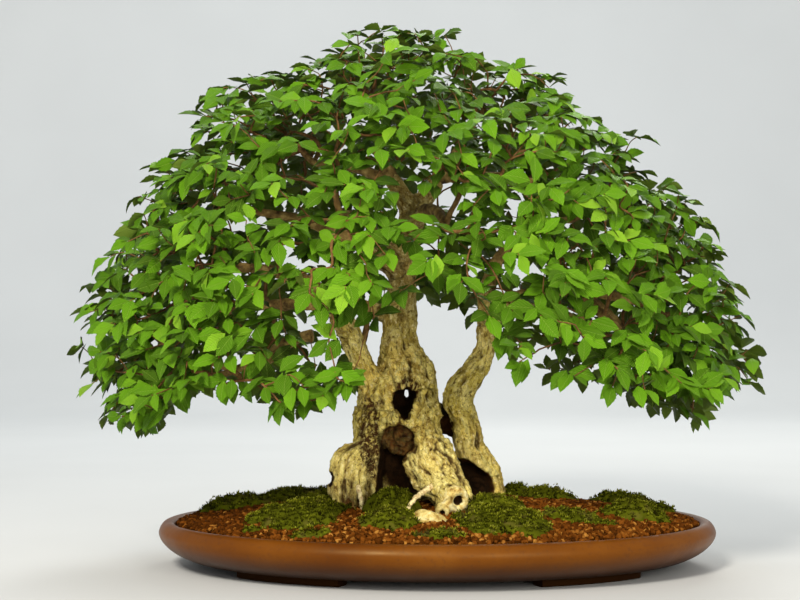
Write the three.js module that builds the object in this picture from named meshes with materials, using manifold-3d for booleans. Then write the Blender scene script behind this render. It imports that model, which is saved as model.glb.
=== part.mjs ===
// A broad-crowned broadleaf bonsai on two trunks, growing in a mossy mound of red-brown granules in a
// shallow oval pot. Units are millimetres: X runs along the pot, Y to the back, Z up from the table.
import * as THREE from "three";
import { mergeVertices } from "three/addons/utils/BufferGeometryUtils.js";
import Module from "manifold-3d";

const wasm = await Module();
wasm.setup();

// Driving dimensions
const GAP = 0.35; // clearance between pieces that touch
const POT_HALF_LENGTH = 277; // at the widest line of the wall
const POT_HALF_DEPTH = 207;
const POT_HEIGHT = 46;
const POT_SEGMENTS = 32;
const FOOT_HEIGHT = 7;
const FLOOR_TOP = 14;
const DRAIN_X = 120;
const DRAIN_RADIUS = 11;
const SCREEN_SIDE = 36;
const SCREEN_THICKNESS = 1.4;
const SOIL_EDGE_HEIGHT = 43;
const WOOD_FOOT = 51; // the wood ends flat at this height, inside the soil
const MOUND = { halfLength: 262, rise: 22, fullness: 0.8 }; // the soil's rise from the rim to the trunk
const CROWN = { x: -21, y: 0, z: 215, halfWidth: 352, halfDepth: 250, rise: 322 };
const SPRAY_REACH = 0.88; // where the middles of the leaf sprays lie, as a share of the crown's size
const LEAF_LENGTH = 58; // from its twig: the leaves are larger than life, and fewer
const LEAF_WIDTH = 37;
const LEAF_THICKNESS = 1.4; // measured along the shoot, so less across a lifted blade

// Colours, roughness and metalness of the real surfaces
const material = (color, roughness) => new THREE.MeshStandardMaterial({ color, roughness, metalness: 0 });
const MATERIALS = {
  pot: material(0x7a4322, 0.35),
  screen: material(0x1d1d1d, 0.8),
  soil: material(0x8a4526, 0.95),
  moss: material(0x55742a, 1),
  bark: material(0x9b8760, 0.85),
  leaf: material(0x5c9a2e, 0.55),
};

// A seeded random source, so that every build is the same
let seed = 20417;
function random(low = 0, high = 1) {
  seed = (seed * 1664525 + 1013904223) % 4294967296;
  return low + (high - low) * (seed / 4294967296);
}

// Solids and geometries
function solidOf(geometry) {
  const bare = geometry.clone();
  bare.deleteAttribute("normal");
  bare.deleteAttribute("uv");
  const merged = mergeVertices(bare, 1e-3);
  const vertProperties = merged.attributes.position.array;
  return new wasm.Manifold(new wasm.Mesh({ numProp: 3, vertProperties, triVerts: merged.index.array }));
}

function geometryOf(solid) {
  const { vertProperties, triVerts } = solid.getMesh();
  const geometry = new THREE.BufferGeometry();
  geometry.setAttribute("position", new THREE.BufferAttribute(vertProperties, 3));
  geometry.setIndex(new THREE.BufferAttribute(triVerts, 1));
  return geometry;
}

const joined = (solids) => solids.reduce((whole, solid) => whole.add(solid));

// The largest body of a solid, without the scraps that a cut leaves
function mainBody(solid) {
  return solid.decompose().reduce((best, body) => (body.volume() > best.volume() ? body : best));
}

function moveVertices(geometry, move) {
  const position = geometry.attributes.position;
  const point = new THREE.Vector3();
  for (let i = 0; i < position.count; i++) {
    point.fromBufferAttribute(position, i);
    move(point, i);
    position.setXYZ(i, point.x, point.y, point.z);
  }
  return geometry;
}

// The pot: a lathed profile drawn out into an oval, with bar feet and drain holes
const OVAL_DIFFERENCE = POT_HALF_LENGTH - POT_HALF_DEPTH;
const OVAL_FLOOR = 200; // inside this radius the oval shrinks evenly to the middle

function halfDepthAt(halfLength) {
  if (halfLength >= OVAL_FLOOR) return halfLength - OVAL_DIFFERENCE;
  return (halfLength * (OVAL_FLOOR - OVAL_DIFFERENCE)) / OVAL_FLOOR;
}

// Turns a profile of [half length, height] points about Z and draws it out into the pot's oval
function ovalLathe(profile) {
  const points = profile.map(([halfLength, height]) => new THREE.Vector2(halfLength, height));
  const form = new THREE.LatheGeometry(points, POT_SEGMENTS).rotateX(Math.PI / 2);
  return moveVertices(form, (p) => {
    const radius = Math.hypot(p.x, p.y);
    if (radius > 1e-6) p.y *= halfDepthAt(radius) / radius;
  });
}

const potProfile = [
  [0, FOOT_HEIGHT],
  [231, FOOT_HEIGHT],
  [245, 9],
  [262, 16.5],
  [273, 26],
  [POT_HALF_LENGTH, 35],
  [274, 42.5],
  [266, POT_HEIGHT],
  [261, 43],
  [254, 24],
  [236, FLOOR_TOP],
  [0, FLOOR_TOP],
];

const FOOT = { outer: 232, inner: 213, fromDegrees: 34, toDegrees: 66, steps: 5, sink: 2 };

function footSolid(signX, signY) {
  const edge = (halfLength, k) => {
    const turn = FOOT.fromDegrees + ((FOOT.toDegrees - FOOT.fromDegrees) * k) / FOOT.steps;
    const angle = THREE.MathUtils.degToRad(turn);
    return new THREE.Vector2(halfLength * Math.cos(angle), halfDepthAt(halfLength) * Math.sin(angle));
  };
  const steps = Array.from({ length: FOOT.steps + 1 }, (_, k) => k);
  const outerEdge = steps.map((k) => edge(FOOT.outer, k));
  const innerEdge = steps.reverse().map((k) => edge(FOOT.inner, k));
  const placed = [...outerEdge, ...innerEdge].map((p) => new THREE.Vector2(p.x * signX, p.y * signY));
  const depth = FOOT_HEIGHT + FOOT.sink;
  const bar = new THREE.ExtrudeGeometry(new THREE.Shape(placed), { depth, bevelEnabled: false, steps: 1 });
  return solidOf(bar);
}

function drainHole(signX) {
  const form = new THREE.CylinderGeometry(DRAIN_RADIUS, DRAIN_RADIUS, 4 * FLOOR_TOP, 10).rotateX(Math.PI / 2);
  return solidOf(form.translate(signX * DRAIN_X, 0, 0));
}

function potSolid() {
  const feet = [footSolid(1, 1), footSolid(-1, 1), footSolid(1, -1), footSolid(-1, -1)];
  return joined([solidOf(ovalLathe(potProfile)), ...feet]).subtract(drainHole(1)).subtract(drainHole(-1));
}

// A square of plastic mesh over each drain hole, under the soil
const SCREEN_SLOT = { width: 4.5, length: 26, pitch: 8.5 };

function screenSpace(signX, grow) {
  const side = SCREEN_SIDE + 2 * grow;
  const form = new THREE.BoxGeometry(side, side, SCREEN_THICKNESS + 2 * grow);
  return solidOf(form.translate(signX * DRAIN_X, 0, FLOOR_TOP + GAP + SCREEN_THICKNESS / 2));
}

function screenSolid(signX) {
  let screen = screenSpace(signX, 0);
  for (const column of [-1, 0, 1]) {
    const slot = new THREE.BoxGeometry(SCREEN_SLOT.width, SCREEN_SLOT.length, 4 * FLOOR_TOP);
    screen = screen.subtract(solidOf(slot.translate(signX * DRAIN_X + column * SCREEN_SLOT.pitch, 0, 0)));
  }
  return screen;
}

// The tree's wood. A route is a list of [x, y, z, radius] from root end to tip.
const TRUNKS = [
  // main trunk, from the root crotch up to its fork
  { sides: 11, flute: 0.09, route: [
    [-42, 2, 100, 27], [-40, 2, 135, 40], [-38, 0, 165, 39], [-34, 0, 190, 30], [-37, 0, 215, 19.5],
    [-38, 2, 238, 16], [-36.5, 4, 265, 14], [-34, 4, 295, 13], [-29, 5, 325, 12.5], [-23, 8, 360, 11],
  ] },
  // second trunk, with its belly and its foot to the right
  { sides: 9, flute: 0.09, route: [
    [51, 17, 44, 20], [51, 17, 66, 18], [48, 15, 84, 17], [40, 11, 100, 15], [32, 8, 116, 14.5],
    [30, 7, 132, 14], [25.5, 7, 149, 12.8], [21, 7, 163, 14.2], [26, 7, 178, 14], [36, 7, 190, 12.8],
    [45, 8, 204, 11.2], [50, 8, 220, 9.5], [50, 8, 250, 9],
  ] },
  // left leg, straight down, and the swollen foot in front of it
  { sides: 8, flute: 0.1, route: [
    [-55, -2, 150, 24], [-65, -9, 130, 16.5], [-68, -13, 112, 13.5], [-68, -14, 94, 13.5], [-66, -14, 70, 14],
    [-66, -14, 40, 12],
  ] },
  { sides: 9, flute: 0.08, route: [
    [-70, -20, 114, 10], [-81, -32, 99, 16.5], [-89, -40, 85, 19], [-91, -44, 70, 17.5], [-90, -46, 56, 13],
    [-90, -47, 42, 10],
  ] },
  // right leg, coming forward to its two sawn ends
  { sides: 10, flute: 0.08, route: [
    [-20, -8, 150, 22], [-12, -18, 130, 19], [-10, -29, 114, 22.5], [-7, -39, 101, 24.5], [4, -52, 86, 21],
    [13, -62, 74, 17.5], [17, -70, 62, 15], [18, -74, 44, 12],
  ] },
  // wood that joins the two trunks, high up at the back and low down
  { sides: 6, flute: 0.1, route: [[-12, 18, 158, 14], [4, 27, 144, 11], [24, 24, 134, 10]] },
  { sides: 7, flute: 0.1, route: [[-12, 4, 98, 18], [8, 10, 84, 17], [28, 14, 72, 18], [46, 16, 60, 18]] },
  // the back of the root base, which closes the hollow between the legs
  { sides: 9, flute: 0.1, route: [
    [-40, 10, 140, 28], [-36, 16, 105, 28], [-36, 22, 72, 28], [-38, 26, 40, 27],
  ] },
];
const ROOTS = [
  // the two roots that run back from it
  [[-44, 34, 96, 18], [-54, 52, 72, 14], [-64, 72, 42, 10]],
  [[-22, 30, 92, 17], [-8, 50, 70, 13], [4, 72, 42, 9]],
  // flare at the foot of the second trunk
  [[46, 14, 84, 13], [56, 10, 70, 11], [66, 6, 57, 8], [76, 4, 44, 5]],
  [[46, 20, 80, 14], [60, 40, 64, 10], [74, 60, 48, 7]],
  // root running back from the left leg
  [[-84, -20, 78, 14], [-104, -4, 64, 9], [-124, 8, 50, 6]],
  // broken surface root in front
  [[-25, -97, 60, 4], [-16, -101, 62, 7.5], [-5, -104, 61, 8.5], [5, -103, 57, 7.5], [12, -94, 54, 7],
    [16, -82, 54, 9]],
  // the two thin rootlets that hang from the legs
  [[-78, -54, 84, 2.6], [-75, -64, 73, 2.2], [-72, -72, 56, 1.8]],
  [[-4, -68, 87, 2.8], [-23, -93, 76, 2.2], [-34, -106, 60, 1.8]],
];
const SAWN_ENDS = [
  { from: [8, -66, 80], to: [19, -90, 73.5], radius: 12.5 },
  { from: [2, -66, 68], to: [0, -90, 61], radius: 8.5 },
];
const LIMBS = [
  // left limb and what it carries
  [[-56, -4, 168, 16], [-67, -8, 186, 12.5], [-76, -13, 206, 11], [-86, -17, 230, 11.2],
    [-98, -21, 252, 10.5], [-108, -25, 268, 9], [-135, -40, 286, 7], [-180, -58, 296, 5],
    [-215, -70, 292, 3.5]],
  [[-92, -18, 232, 7], [-125, -8, 230, 6], [-150, 2, 223, 5.2], [-175, 10, 206, 4.5], [-215, 18, 190, 3.5]],
  [[-100, -22, 252, 6], [-140, -20, 262, 5], [-180, -5, 258, 4], [-225, 5, 252, 3]],
  [[-147, 0, 222, 4.6], [-165, -32, 206, 4], [-190, -60, 190, 3]],
  // from the main trunk, going left, front and back
  [[-38, 6, 246, 10], [-75, 42, 258, 7.5], [-120, 78, 266, 5.5], [-165, 108, 256, 4]],
  [[-37, 3, 292, 10], [-75, -5, 318, 7.5], [-125, -12, 342, 5.5], [-175, -12, 352, 4]],
  [[-34, 0, 312, 9], [-55, -48, 335, 6.5], [-85, -95, 345, 5], [-98, -125, 340, 3.6]],
  [[-27, 2, 338, 9], [-12, -45, 352, 6.5], [0, -90, 348, 5], [5, -125, 335, 3.6]],
  [[-27, 8, 332, 9], [-28, 55, 350, 6.5], [-30, 100, 345, 5], [-30, 130, 330, 3.6]],
  [[-82, 48, 260, 5], [-84, 90, 264, 4], [-82, 138, 256, 3]],
  // the fork at the head of the main trunk
  [[-24, 8, 352, 10.5], [-46, 2, 388, 8], [-60, -2, 420, 5.5], [-62, -2, 440, 4]],
  [[-23, 8, 352, 10.5], [0, 12, 385, 8], [22, 12, 415, 5.5], [35, 10, 435, 4]],
  [[-44, 2, 384, 6], [-90, 15, 400, 4.5], [-125, 30, 405, 3.2]],
  [[2, 12, 388, 6], [55, 25, 390, 5], [100, 35, 385, 3.6]],
  // from the second trunk
  [[50, 8, 240, 9.5], [70, 4, 262, 8], [98, 0, 272, 6.8], [145, -8, 274, 5.6], [195, -14, 264, 4.4],
    [225, -18, 250, 3.4]],
  [[50, 8, 243, 9.5], [50, 14, 275, 7.5], [64, 20, 308, 6.2], [98, 26, 336, 5], [140, 30, 348, 3.8]],
  [[78, 2, 266, 6.8], [98, -42, 264, 5.4], [120, -85, 252, 4.2], [135, -115, 240, 3.2]],
  [[62, 8, 258, 7], [85, 52, 264, 5.5], [115, 95, 262, 4.2], [132, 120, 254, 3.2]],
  [[142, -8, 272, 5.2], [172, -40, 240, 4.2], [195, -62, 215, 3.2]],
  [[145, -6, 272, 5.2], [180, 30, 246, 4.2], [200, 58, 220, 3.2]],
];
const HOLLOWS = [
  // the open hole in the main trunk, wide above and narrow below, and its way through to the back
  { at: [-32, -30, 164], radii: [11.5, 28, 12] },
  { at: [-34, -34, 154], radii: [7, 26, 14] },
  { at: [-31, 8, 170], radii: [3.4, 60, 4.6] },
  // the rotted spaces between the legs and under the second trunk
  { at: [-44, -42, 105], radii: [13, 34, 33] },
  { at: [35, -10, 88], radii: [15.5, 16, 17] },
];
const STEP = { trunk: 30, root: 28, limb: 58, branchlet: 120 }; // how closely the tubes follow their routes
const OLD_WOOD = { at: [-39, -23, 128], radii: [16.5, 14, 16] }; // rounded heartwood left at the top of it

const spineOf = (route) => new THREE.CatmullRomCurve3(route.map(([x, y, z]) => new THREE.Vector3(x, y, z)));
const stepsAlong = (spine, stepLength) => Math.ceil(spine.getLength() / stepLength);

// A tapering tube along a route, its section fluted like old wood
function limbForm(route, sides, stepLength, grow = 0, flute = 0) {
  const spine = spineOf(route);
  const steps = stepsAlong(spine, stepLength);
  const frames = spine.computeFrenetFrames(steps, false);
  const form = new THREE.CylinderGeometry(1, 1, 1, sides, steps);
  return moveVertices(form, (p) => {
    const step = Math.round((p.y + 0.5) * steps);
    const along = spine.getUtoTmapping(step / steps, null) * (route.length - 1);
    const low = Math.min(Math.floor(along), route.length - 2);
    const radius = THREE.MathUtils.lerp(route[low][3], route[low + 1][3], along - low);
    const turn = Math.atan2(-p.z, p.x);
    const ridges = 1 + flute * (Math.sin(3 * turn + 0.5 * along) + 0.6 * Math.sin(5 * turn - 0.9 * along));
    const reach = Math.hypot(p.x, p.z) * (radius * ridges + grow);
    spine.getPointAt(step / steps, p);
    if (step === 0) p.addScaledVector(frames.tangents[step], -grow);
    if (step === steps) p.addScaledVector(frames.tangents[step], grow);
    p.addScaledVector(frames.normals[step], reach * Math.cos(turn));
    p.addScaledVector(frames.binormals[step], reach * Math.sin(turn));
  });
}

const limbSides = (route) => (route[0][3] > 8 ? 5 : 4);

function ellipsoid({ at, radii }, grow, around = 10, down = 6) {
  const form = new THREE.SphereGeometry(1, around, down).rotateX(Math.PI / 2);
  return solidOf(form.scale(...radii.map((radius) => radius + grow)).translate(...at));
}

// A sawn root: a stub with a sunken middle in its cut face
function sawnEnd({ from, to, radius }, grow) {
  const [start, end] = [new THREE.Vector3(...from), new THREE.Vector3(...to)];
  const axis = end.clone().sub(start);
  const length = axis.length();
  const toAxis = new THREE.Quaternion().setFromUnitVectors(new THREE.Vector3(0, 1, 0), axis.normalize());
  const profile = [
    [0, 0],
    [radius + grow, 0],
    [radius + grow, length - 5],
    [radius * 0.78 + grow, length + grow],
    [radius * 0.46 - grow, length + grow],
    [radius * 0.3 - grow, length - 4 + grow],
    [0, length - 5 + grow],
  ];
  const points = profile.map(([reach, height]) => new THREE.Vector2(reach, height));
  const form = new THREE.LatheGeometry(points, 9).applyQuaternion(toAxis);
  return solidOf(form.translate(...from));
}

function woodSolid(grow) {
  const forms = [
    ...TRUNKS.map(({ route, sides, flute }) => limbForm(route, sides, STEP.trunk, grow, flute)),
    ...ROOTS.map((route) => limbForm(route, limbSides(route), STEP.root, grow)),
    ...LIMBS.map((route) => limbForm(route, limbSides(route), STEP.limb, grow)),
    ...BRANCHLETS.map((route) => limbForm(route, 3, STEP.branchlet, grow)),
  ];
  let wood = joined([...forms.map(solidOf), ...SAWN_ENDS.map((stub) => sawnEnd(stub, grow))]);
  for (const hollow of HOLLOWS) wood = wood.subtract(ellipsoid(hollow, -grow));
  const below = new THREE.BoxGeometry(2 * POT_HALF_LENGTH, 2 * POT_HALF_DEPTH, POT_HEIGHT);
  below.translate(0, 0, WOOD_FOOT - grow - POT_HEIGHT / 2);
  return mainBody(wood.add(ellipsoid(OLD_WOOD, grow)).subtract(solidOf(below)));
}

// The soil: a mound from the rim up to the trunks, with its granules as relief
function soilHeight(x, y) {
  const out = Math.min(1, Math.hypot(x / MOUND.halfLength, y / (MOUND.halfLength - OVAL_DIFFERENCE)));
  return SOIL_EDGE_HEIGHT + MOUND.rise * (1 - out * out) ** MOUND.fullness;
}

const SOIL_EDGE = [[235.2, FLOOR_TOP + GAP], [253.2, 24.3], [260, 42]]; // just inside the pot's wall
const SOIL_RINGS = [238, 168, 88];
const SOIL_RELIEF = 1.6;
const ABOVE_ALL = 100; // the height that the top's points start from, over every other point of the profile

function soilForm(raise) {
  const top = SOIL_RINGS.map((halfLength) => [halfLength, ABOVE_ALL]);
  const profile = [[0, FLOOR_TOP + GAP], ...SOIL_EDGE, ...top, [0, ABOVE_ALL]];
  seed = 90210;
  const rise = new Map(); // one jitter for each place, so that the seam stays closed
  return moveVertices(ovalLathe(profile), (p) => {
    if (p.z < ABOVE_ALL - 1) return;
    const place = `${Math.round(p.x) + 0},${Math.round(p.y) + 0}`;
    if (!rise.has(place)) rise.set(place, random(-SOIL_RELIEF, SOIL_RELIEF));
    p.z = soilHeight(p.x, p.y) + rise.get(place) + raise;
  });
}

// Cushions of moss: [x, y, half length, half depth, height, turn in degrees]
const MOSS = [
  [-134, -84, 46, 48, 12, -20],
  [-205, 42, 38, 30, 12, 10],
  [-46, -122, 28, 30, 12, 0],
  [60, -120, 46, 50, 10, 0],
  [116, 58, 28, 28, 10, 0],
  [192, -46, 32, 30, 12, 5],
  [196, 72, 38, 28, 12, -14],
  [-76, 118, 70, 36, 12, 6],
];

const CUSHION = { around: 9, down: 4, lumps: 0.1, sunkShare: 0.6 }; // part of its height is under the soil

function mossForm([x, y, halfLength, halfDepth, height, turn]) {
  const form = new THREE.SphereGeometry(1, CUSHION.around, CUSHION.down).rotateX(Math.PI / 2);
  moveVertices(form, (p) => p.multiplyScalar(1 + CUSHION.lumps * Math.sin(7 * p.x + 5 * p.y + x)));
  const halfHeight = height * (1 + CUSHION.sunkShare);
  form.scale(halfLength, halfDepth, halfHeight).rotateZ(THREE.MathUtils.degToRad(turn));
  return form.translate(x, y, soilHeight(x, y) - height * CUSHION.sunkShare);
}

// The middles of the leaf sprays: tiers round the crown, and the low ones listed by their place
function tier(count, firstDegrees, elevationDegrees) {
  const elevation = THREE.MathUtils.degToRad(elevationDegrees);
  return Array.from({ length: count }, (_, k) => {
    const turn = THREE.MathUtils.degToRad(firstDegrees + (360 * k) / count);
    return new THREE.Vector3(
      CROWN.x + SPRAY_REACH * CROWN.halfWidth * Math.cos(elevation) * Math.cos(turn),
      CROWN.y + SPRAY_REACH * CROWN.halfDepth * Math.cos(elevation) * Math.sin(turn),
      CROWN.z + SPRAY_REACH * CROWN.rise * Math.sin(elevation),
    );
  });
}

// The crown arches up over the trunks: sprays near its middle line are lifted to clear them
const ARCH = { halfWidth: 150, flat: 60, front: 302, back: 272 };

function arched(middle) {
  const inside = ARCH.halfWidth - Math.abs(middle.x - CROWN.x);
  const nearMiddle = THREE.MathUtils.smoothstep(inside, 0, ARCH.halfWidth - ARCH.flat);
  const archHeight = middle.y < 0 ? ARCH.front : ARCH.back;
  middle.z = Math.max(middle.z, THREE.MathUtils.lerp(middle.z, archHeight, nearMiddle));
  return middle;
}

const LOW_SPRAYS = [
  [-316, 4, 190], [-262, -108, 190], [-258, 106, 190], [-166, -170, 208], [-120, -42, 194],
  [266, 6, 202], [224, -108, 212], [220, 108, 202], [-156, 170, 212],
].map((place) => new THREE.Vector3(...place));
const SPRAY_MIDDLES = [
  ...tier(1, 0, 90),
  ...tier(7, 20, 57),
  ...tier(10, 12, 31),
  ...tier(12, 15, 8).map(arched),
  ...LOW_SPRAYS,
];

const outwardAt = (p) =>
  new THREE.Vector3(
    (p.x - CROWN.x) / CROWN.halfWidth ** 2,
    (p.y - CROWN.y) / CROWN.halfDepth ** 2,
    (p.z - CROWN.z) / CROWN.rise ** 2,
  ).normalize();

// A spray is a leafy shoot: three leaves at each of three levels, on a short stout stem. A leaf is ovate
// with a drawn-out tip, its edges raised and its tip drooping: [side, forward, raise], as shares of its
// width, length and width.
const LEAF_OUTLINE = [
  [-0.48, 0.44, 0.07],
  [-0.37, 0.7, 0.02],
  [0, 1, -0.2],
  [0.37, 0.7, 0.02],
  [0.48, 0.44, 0.07],
];
const PER_LEAF = LEAF_OUTLINE.length + 1;
const LEAVES_PER_LEVEL = 3;
const LEVELS = [
  { height: -9, lifts: [-26, 2], size: 1.06 },
  { height: 3, lifts: [-6, 20], size: 1 },
  { height: 14, lifts: [14, 46], size: 0.9 },
];
const STEM_RADIUS = 8; // the leaves of a level part at this distance from the shoot's middle line

// A spray faces outward and up to the light
const UP_TO_LIGHT = new THREE.Vector3(0, 0, 0.25);
const facing = (middle) => outwardAt(middle).add(UP_TO_LIGHT).normalize();

// The upper points of a level's leaves: for each leaf the parting before it, then its outline
function levelTop({ axis, hub, leaves }, margin) {
  const toAxis = new THREE.Quaternion().setFromUnitVectors(new THREE.Vector3(0, 0, 1), axis);
  return leaves.flatMap(({ angle, lift, size }, k) => {
    const previous = leaves.at(k - 1).angle - (k === 0 ? 2 * Math.PI : 0);
    const between = (angle + previous) / 2;
    const length = LEAF_LENGTH * size + 2 * margin;
    const width = LEAF_WIDTH * size + 2 * margin;
    const blade = LEAF_OUTLINE.map(([side, forward, raise]) => {
      const out = forward * length * Math.cos(lift) - raise * width * Math.sin(lift);
      const up = forward * length * Math.sin(lift) + raise * width * Math.cos(lift);
      return new THREE.Vector3(out, side * width, up).applyAxisAngle(new THREE.Vector3(0, 0, 1), angle);
    });
    const parting = new THREE.Vector3(STEM_RADIUS * Math.cos(between), STEM_RADIUS * Math.sin(between), 0);
    const points = [parting, ...blade];
    return points.map((p) => p.add(new THREE.Vector3(0, 0, margin)).applyQuaternion(toAxis).add(hub));
  });
}

// One closed body for a list of levels from the lowest up, or for one level with a margin, to test what
// it touches
function shootSolid(levels, margin = 0) {
  const perSide = LEAVES_PER_LEVEL * PER_LEAF;
  const points = [];
  const faces = [];
  const partings = (first) => Array.from({ length: LEAVES_PER_LEVEL }, (_, k) => first + k * PER_LEAF);
  levels.forEach((level, index) => {
    const first = points.length;
    const top = levelTop(level, margin);
    const down = level.axis.clone().multiplyScalar(-LEAF_THICKNESS - 2 * margin);
    points.push(...top, ...top.map((p) => p.clone().add(down)));
    const flip = ([a, b, c]) => [a + perSide, c + perSide, b + perSide];
    for (const base of partings(first)) {
      const [wide, upper, tip, farUpper, farWide] = [1, 2, 3, 4, 5].map((n) => base + n);
      const next = first + ((base - first + PER_LEAF) % perSide);
      const upside = [
        [base, wide, tip],
        [wide, upper, tip],
        [base, tip, next],
        [next, tip, farWide],
        [farWide, tip, farUpper],
      ];
      faces.push(...upside, ...upside.map(flip));
    }
    for (let k = 0; k < perSide; k++) {
      const [here, next] = [first + k, first + ((k + 1) % perSide)];
      faces.push([here, here + perSide, next + perSide], [here, next + perSide, next]);
    }
    if (index === 0) faces.push(flip(partings(first)));
    if (index === levels.length - 1) faces.push(partings(first));
    if (index > 0) {
      const lowerRing = partings(first - 2 * perSide);
      faces.push(...stemFaces(levels[index - 1], lowerRing, level, partings(first + perSide)));
    }
  });
  const vertProperties = new Float32Array(points.flatMap((p) => p.toArray()));
  const triVerts = new Uint32Array(faces.flat());
  return new wasm.Manifold(new wasm.Mesh({ numProp: 3, vertProperties, triVerts }));
}

// The stem between two levels: a band from the lower one's partings to the upper one's
function stemFaces(lower, lowerRing, upper, upperRing) {
  const full = 2 * Math.PI;
  const turns = upper.leaves.map(({ angle }) => (((angle - lower.leaves[0].angle) % full) + full) % full);
  const offset = turns.indexOf(Math.min(...turns));
  const faces = [];
  for (let k = 0; k < LEAVES_PER_LEVEL; k++) {
    const next = (k + 1) % LEAVES_PER_LEVEL;
    const above = upperRing[(k + offset) % LEAVES_PER_LEVEL];
    faces.push([lowerRing[k], lowerRing[next], above]);
    faces.push([above, lowerRing[next], upperRing[(next + offset) % LEAVES_PER_LEVEL]]);
  }
  return faces;
}

// Where a level would touch another spray it is turned and made a little smaller, until it clears it
const FITTING = { tries: 16, turn: 0.35, shrink: 0.025, margin: 0.5, unevenAngle: 0.22, unevenSize: 0.12 };

function levelPlace(middle, level, attempt) {
  const axis = facing(middle);
  const hub = middle.clone().addScaledVector(axis, level.height);
  const first = random(0, 2 * Math.PI) + FITTING.turn * attempt;
  const leaves = Array.from({ length: LEAVES_PER_LEVEL }, (_, k) => ({
    angle: first + (2 * Math.PI * k) / LEAVES_PER_LEVEL + random(-FITTING.unevenAngle, FITTING.unevenAngle),
    lift: THREE.MathUtils.degToRad(random(...level.lifts)),
    size: (1 + random(-FITTING.unevenSize, FITTING.unevenSize)) * level.size * (1 - FITTING.shrink * attempt),
  }));
  return { hub, axis, leaves };
}

const boxesMeet = (a, b) => [0, 1, 2].every((axis) => a.min[axis] < b.max[axis] && b.min[axis] < a.max[axis]);

// Grows all the sprays together, level by level, so that none crowds out the next
function spraySolids(woodGrown) {
  seed = 5150;
  const grown = SPRAY_MIDDLES.map(() => []);
  const boxed = [];
  for (const level of LEVELS) {
    SPRAY_MIDDLES.forEach((middle, index) => {
      for (let attempt = 0; attempt < FITTING.tries; attempt++) {
        const place = levelPlace(middle, level, attempt);
        const widened = shootSolid([place], FITTING.margin);
        const box = widened.boundingBox();
        const near = boxed.filter((other) => boxesMeet(other.box, box));
        if (near.some((other) => !other.solid.intersect(widened).isEmpty())) continue;
        const solid = shootSolid([place]);
        grown[index].push(place);
        boxed.push({ solid, box: solid.boundingBox() });
        return;
      }
      throw new Error("no room for a level of leaves");
    });
  }
  return grown.map((levels) => mainBody(shootSolid(levels).subtract(woodGrown)));
}

// Each limb runs on to the foot of the nearest spray that no other limb has reached
const TWIG_RADIUS = 2.3;
const TWIG_CLEARANCE = 0.4;
const SHOOT_FOOT = LEVELS[0].height - LEAF_THICKNESS - TWIG_CLEARANCE;
const twigEnd = (middle) => middle.clone().addScaledVector(facing(middle), SHOOT_FOOT);
const unreached = new Set(SPRAY_MIDDLES);
const nearest = (points, place) =>
  [...points].reduce((best, p) => (p.distanceTo(place) < best.distanceTo(place) ? p : best));
for (const route of LIMBS) {
  const middle = nearest(unreached, new THREE.Vector3(...route.at(-1)));
  route.push([...twigEnd(middle).toArray(), TWIG_RADIUS]);
  unreached.delete(middle);
}

// A branchlet runs from the nearest part of the limbs to each other spray. It starts on a limb's own
// middle line, which is straight between its steps, and past the limb's first part.
const LIMB_POINTS = LIMBS.flatMap((route) => {
  const spine = spineOf(route);
  const rings = spine.getSpacedPoints(stepsAlong(spine, STEP.limb));
  const shares = [0.25, 0.5, 0.75, 1];
  const line = rings.slice(1).flatMap((end, k) => shares.map((share) => rings[k].clone().lerp(end, share)));
  return line.slice(Math.floor(line.length / 3), -2);
});
const BRANCHLET = { startRadius: 3.4, middleRadius: 3, rise: 5 };
const BRANCHLETS = [...unreached].map((middle) => {
  const start = nearest(LIMB_POINTS, middle);
  const end = twigEnd(middle);
  const halfWay = start.clone().lerp(end, 0.5).add(new THREE.Vector3(0, 0, BRANCHLET.rise));
  return [
    [...start.toArray(), BRANCHLET.startRadius],
    [...halfWay.toArray(), BRANCHLET.middleRadius],
    [...end.toArray(), TWIG_RADIUS],
  ];
});

// The whole object
const bonsai = new THREE.Group();

function addPiece(name, solid, look) {
  const mesh = new THREE.Mesh(geometryOf(solid), MATERIALS[look]);
  mesh.name = name;
  bonsai.add(mesh);
}

const twoDigits = (index) => String(index + 1).padStart(2, "0");
const woodGrown = woodSolid(GAP);
const raisedSoil = solidOf(soilForm(GAP)).subtract(woodSolid(-GAP));
const screenSpaces = screenSpace(1, GAP).add(screenSpace(-1, GAP));

addPiece("pot", potSolid(), "pot");
addPiece("drain_screen_right", screenSolid(1), "screen");
addPiece("drain_screen_left", screenSolid(-1), "screen");
addPiece("soil", mainBody(solidOf(soilForm(0)).subtract(woodGrown).subtract(screenSpaces)), "soil");
MOSS.forEach((cushion, index) => {
  const solid = solidOf(mossForm(cushion)).subtract(raisedSoil).subtract(woodGrown);
  addPiece(`moss_cushion_${twoDigits(index)}`, mainBody(solid), "moss");
});
addPiece("trunk_and_branches", woodSolid(0), "bark");
spraySolids(woodGrown).forEach((spray, index) => addPiece(`leaf_spray_${twoDigits(index)}`, spray, "leaf"));

// The origin is under the middle of the whole object's box, on the table
const middle = new THREE.Box3().setFromObject(bonsai).getCenter(new THREE.Vector3());
bonsai.position.set(-middle.x, -middle.y, 0);

export default bonsai;
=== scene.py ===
"""Looks of a broad-crowned broadleaf bonsai on two trunks, in a shallow oval pot of red-brown granules.

Work is done in millimetres from the middle of the pot, on the table: X along the pot, Y to the back, Z up.
A part is a tuple of points and of groups of polygons, all in a group with the same number of corners.
"""

import math

import bpy
import numpy as np
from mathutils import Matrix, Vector, noise
from mathutils.kdtree import KDTree

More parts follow.
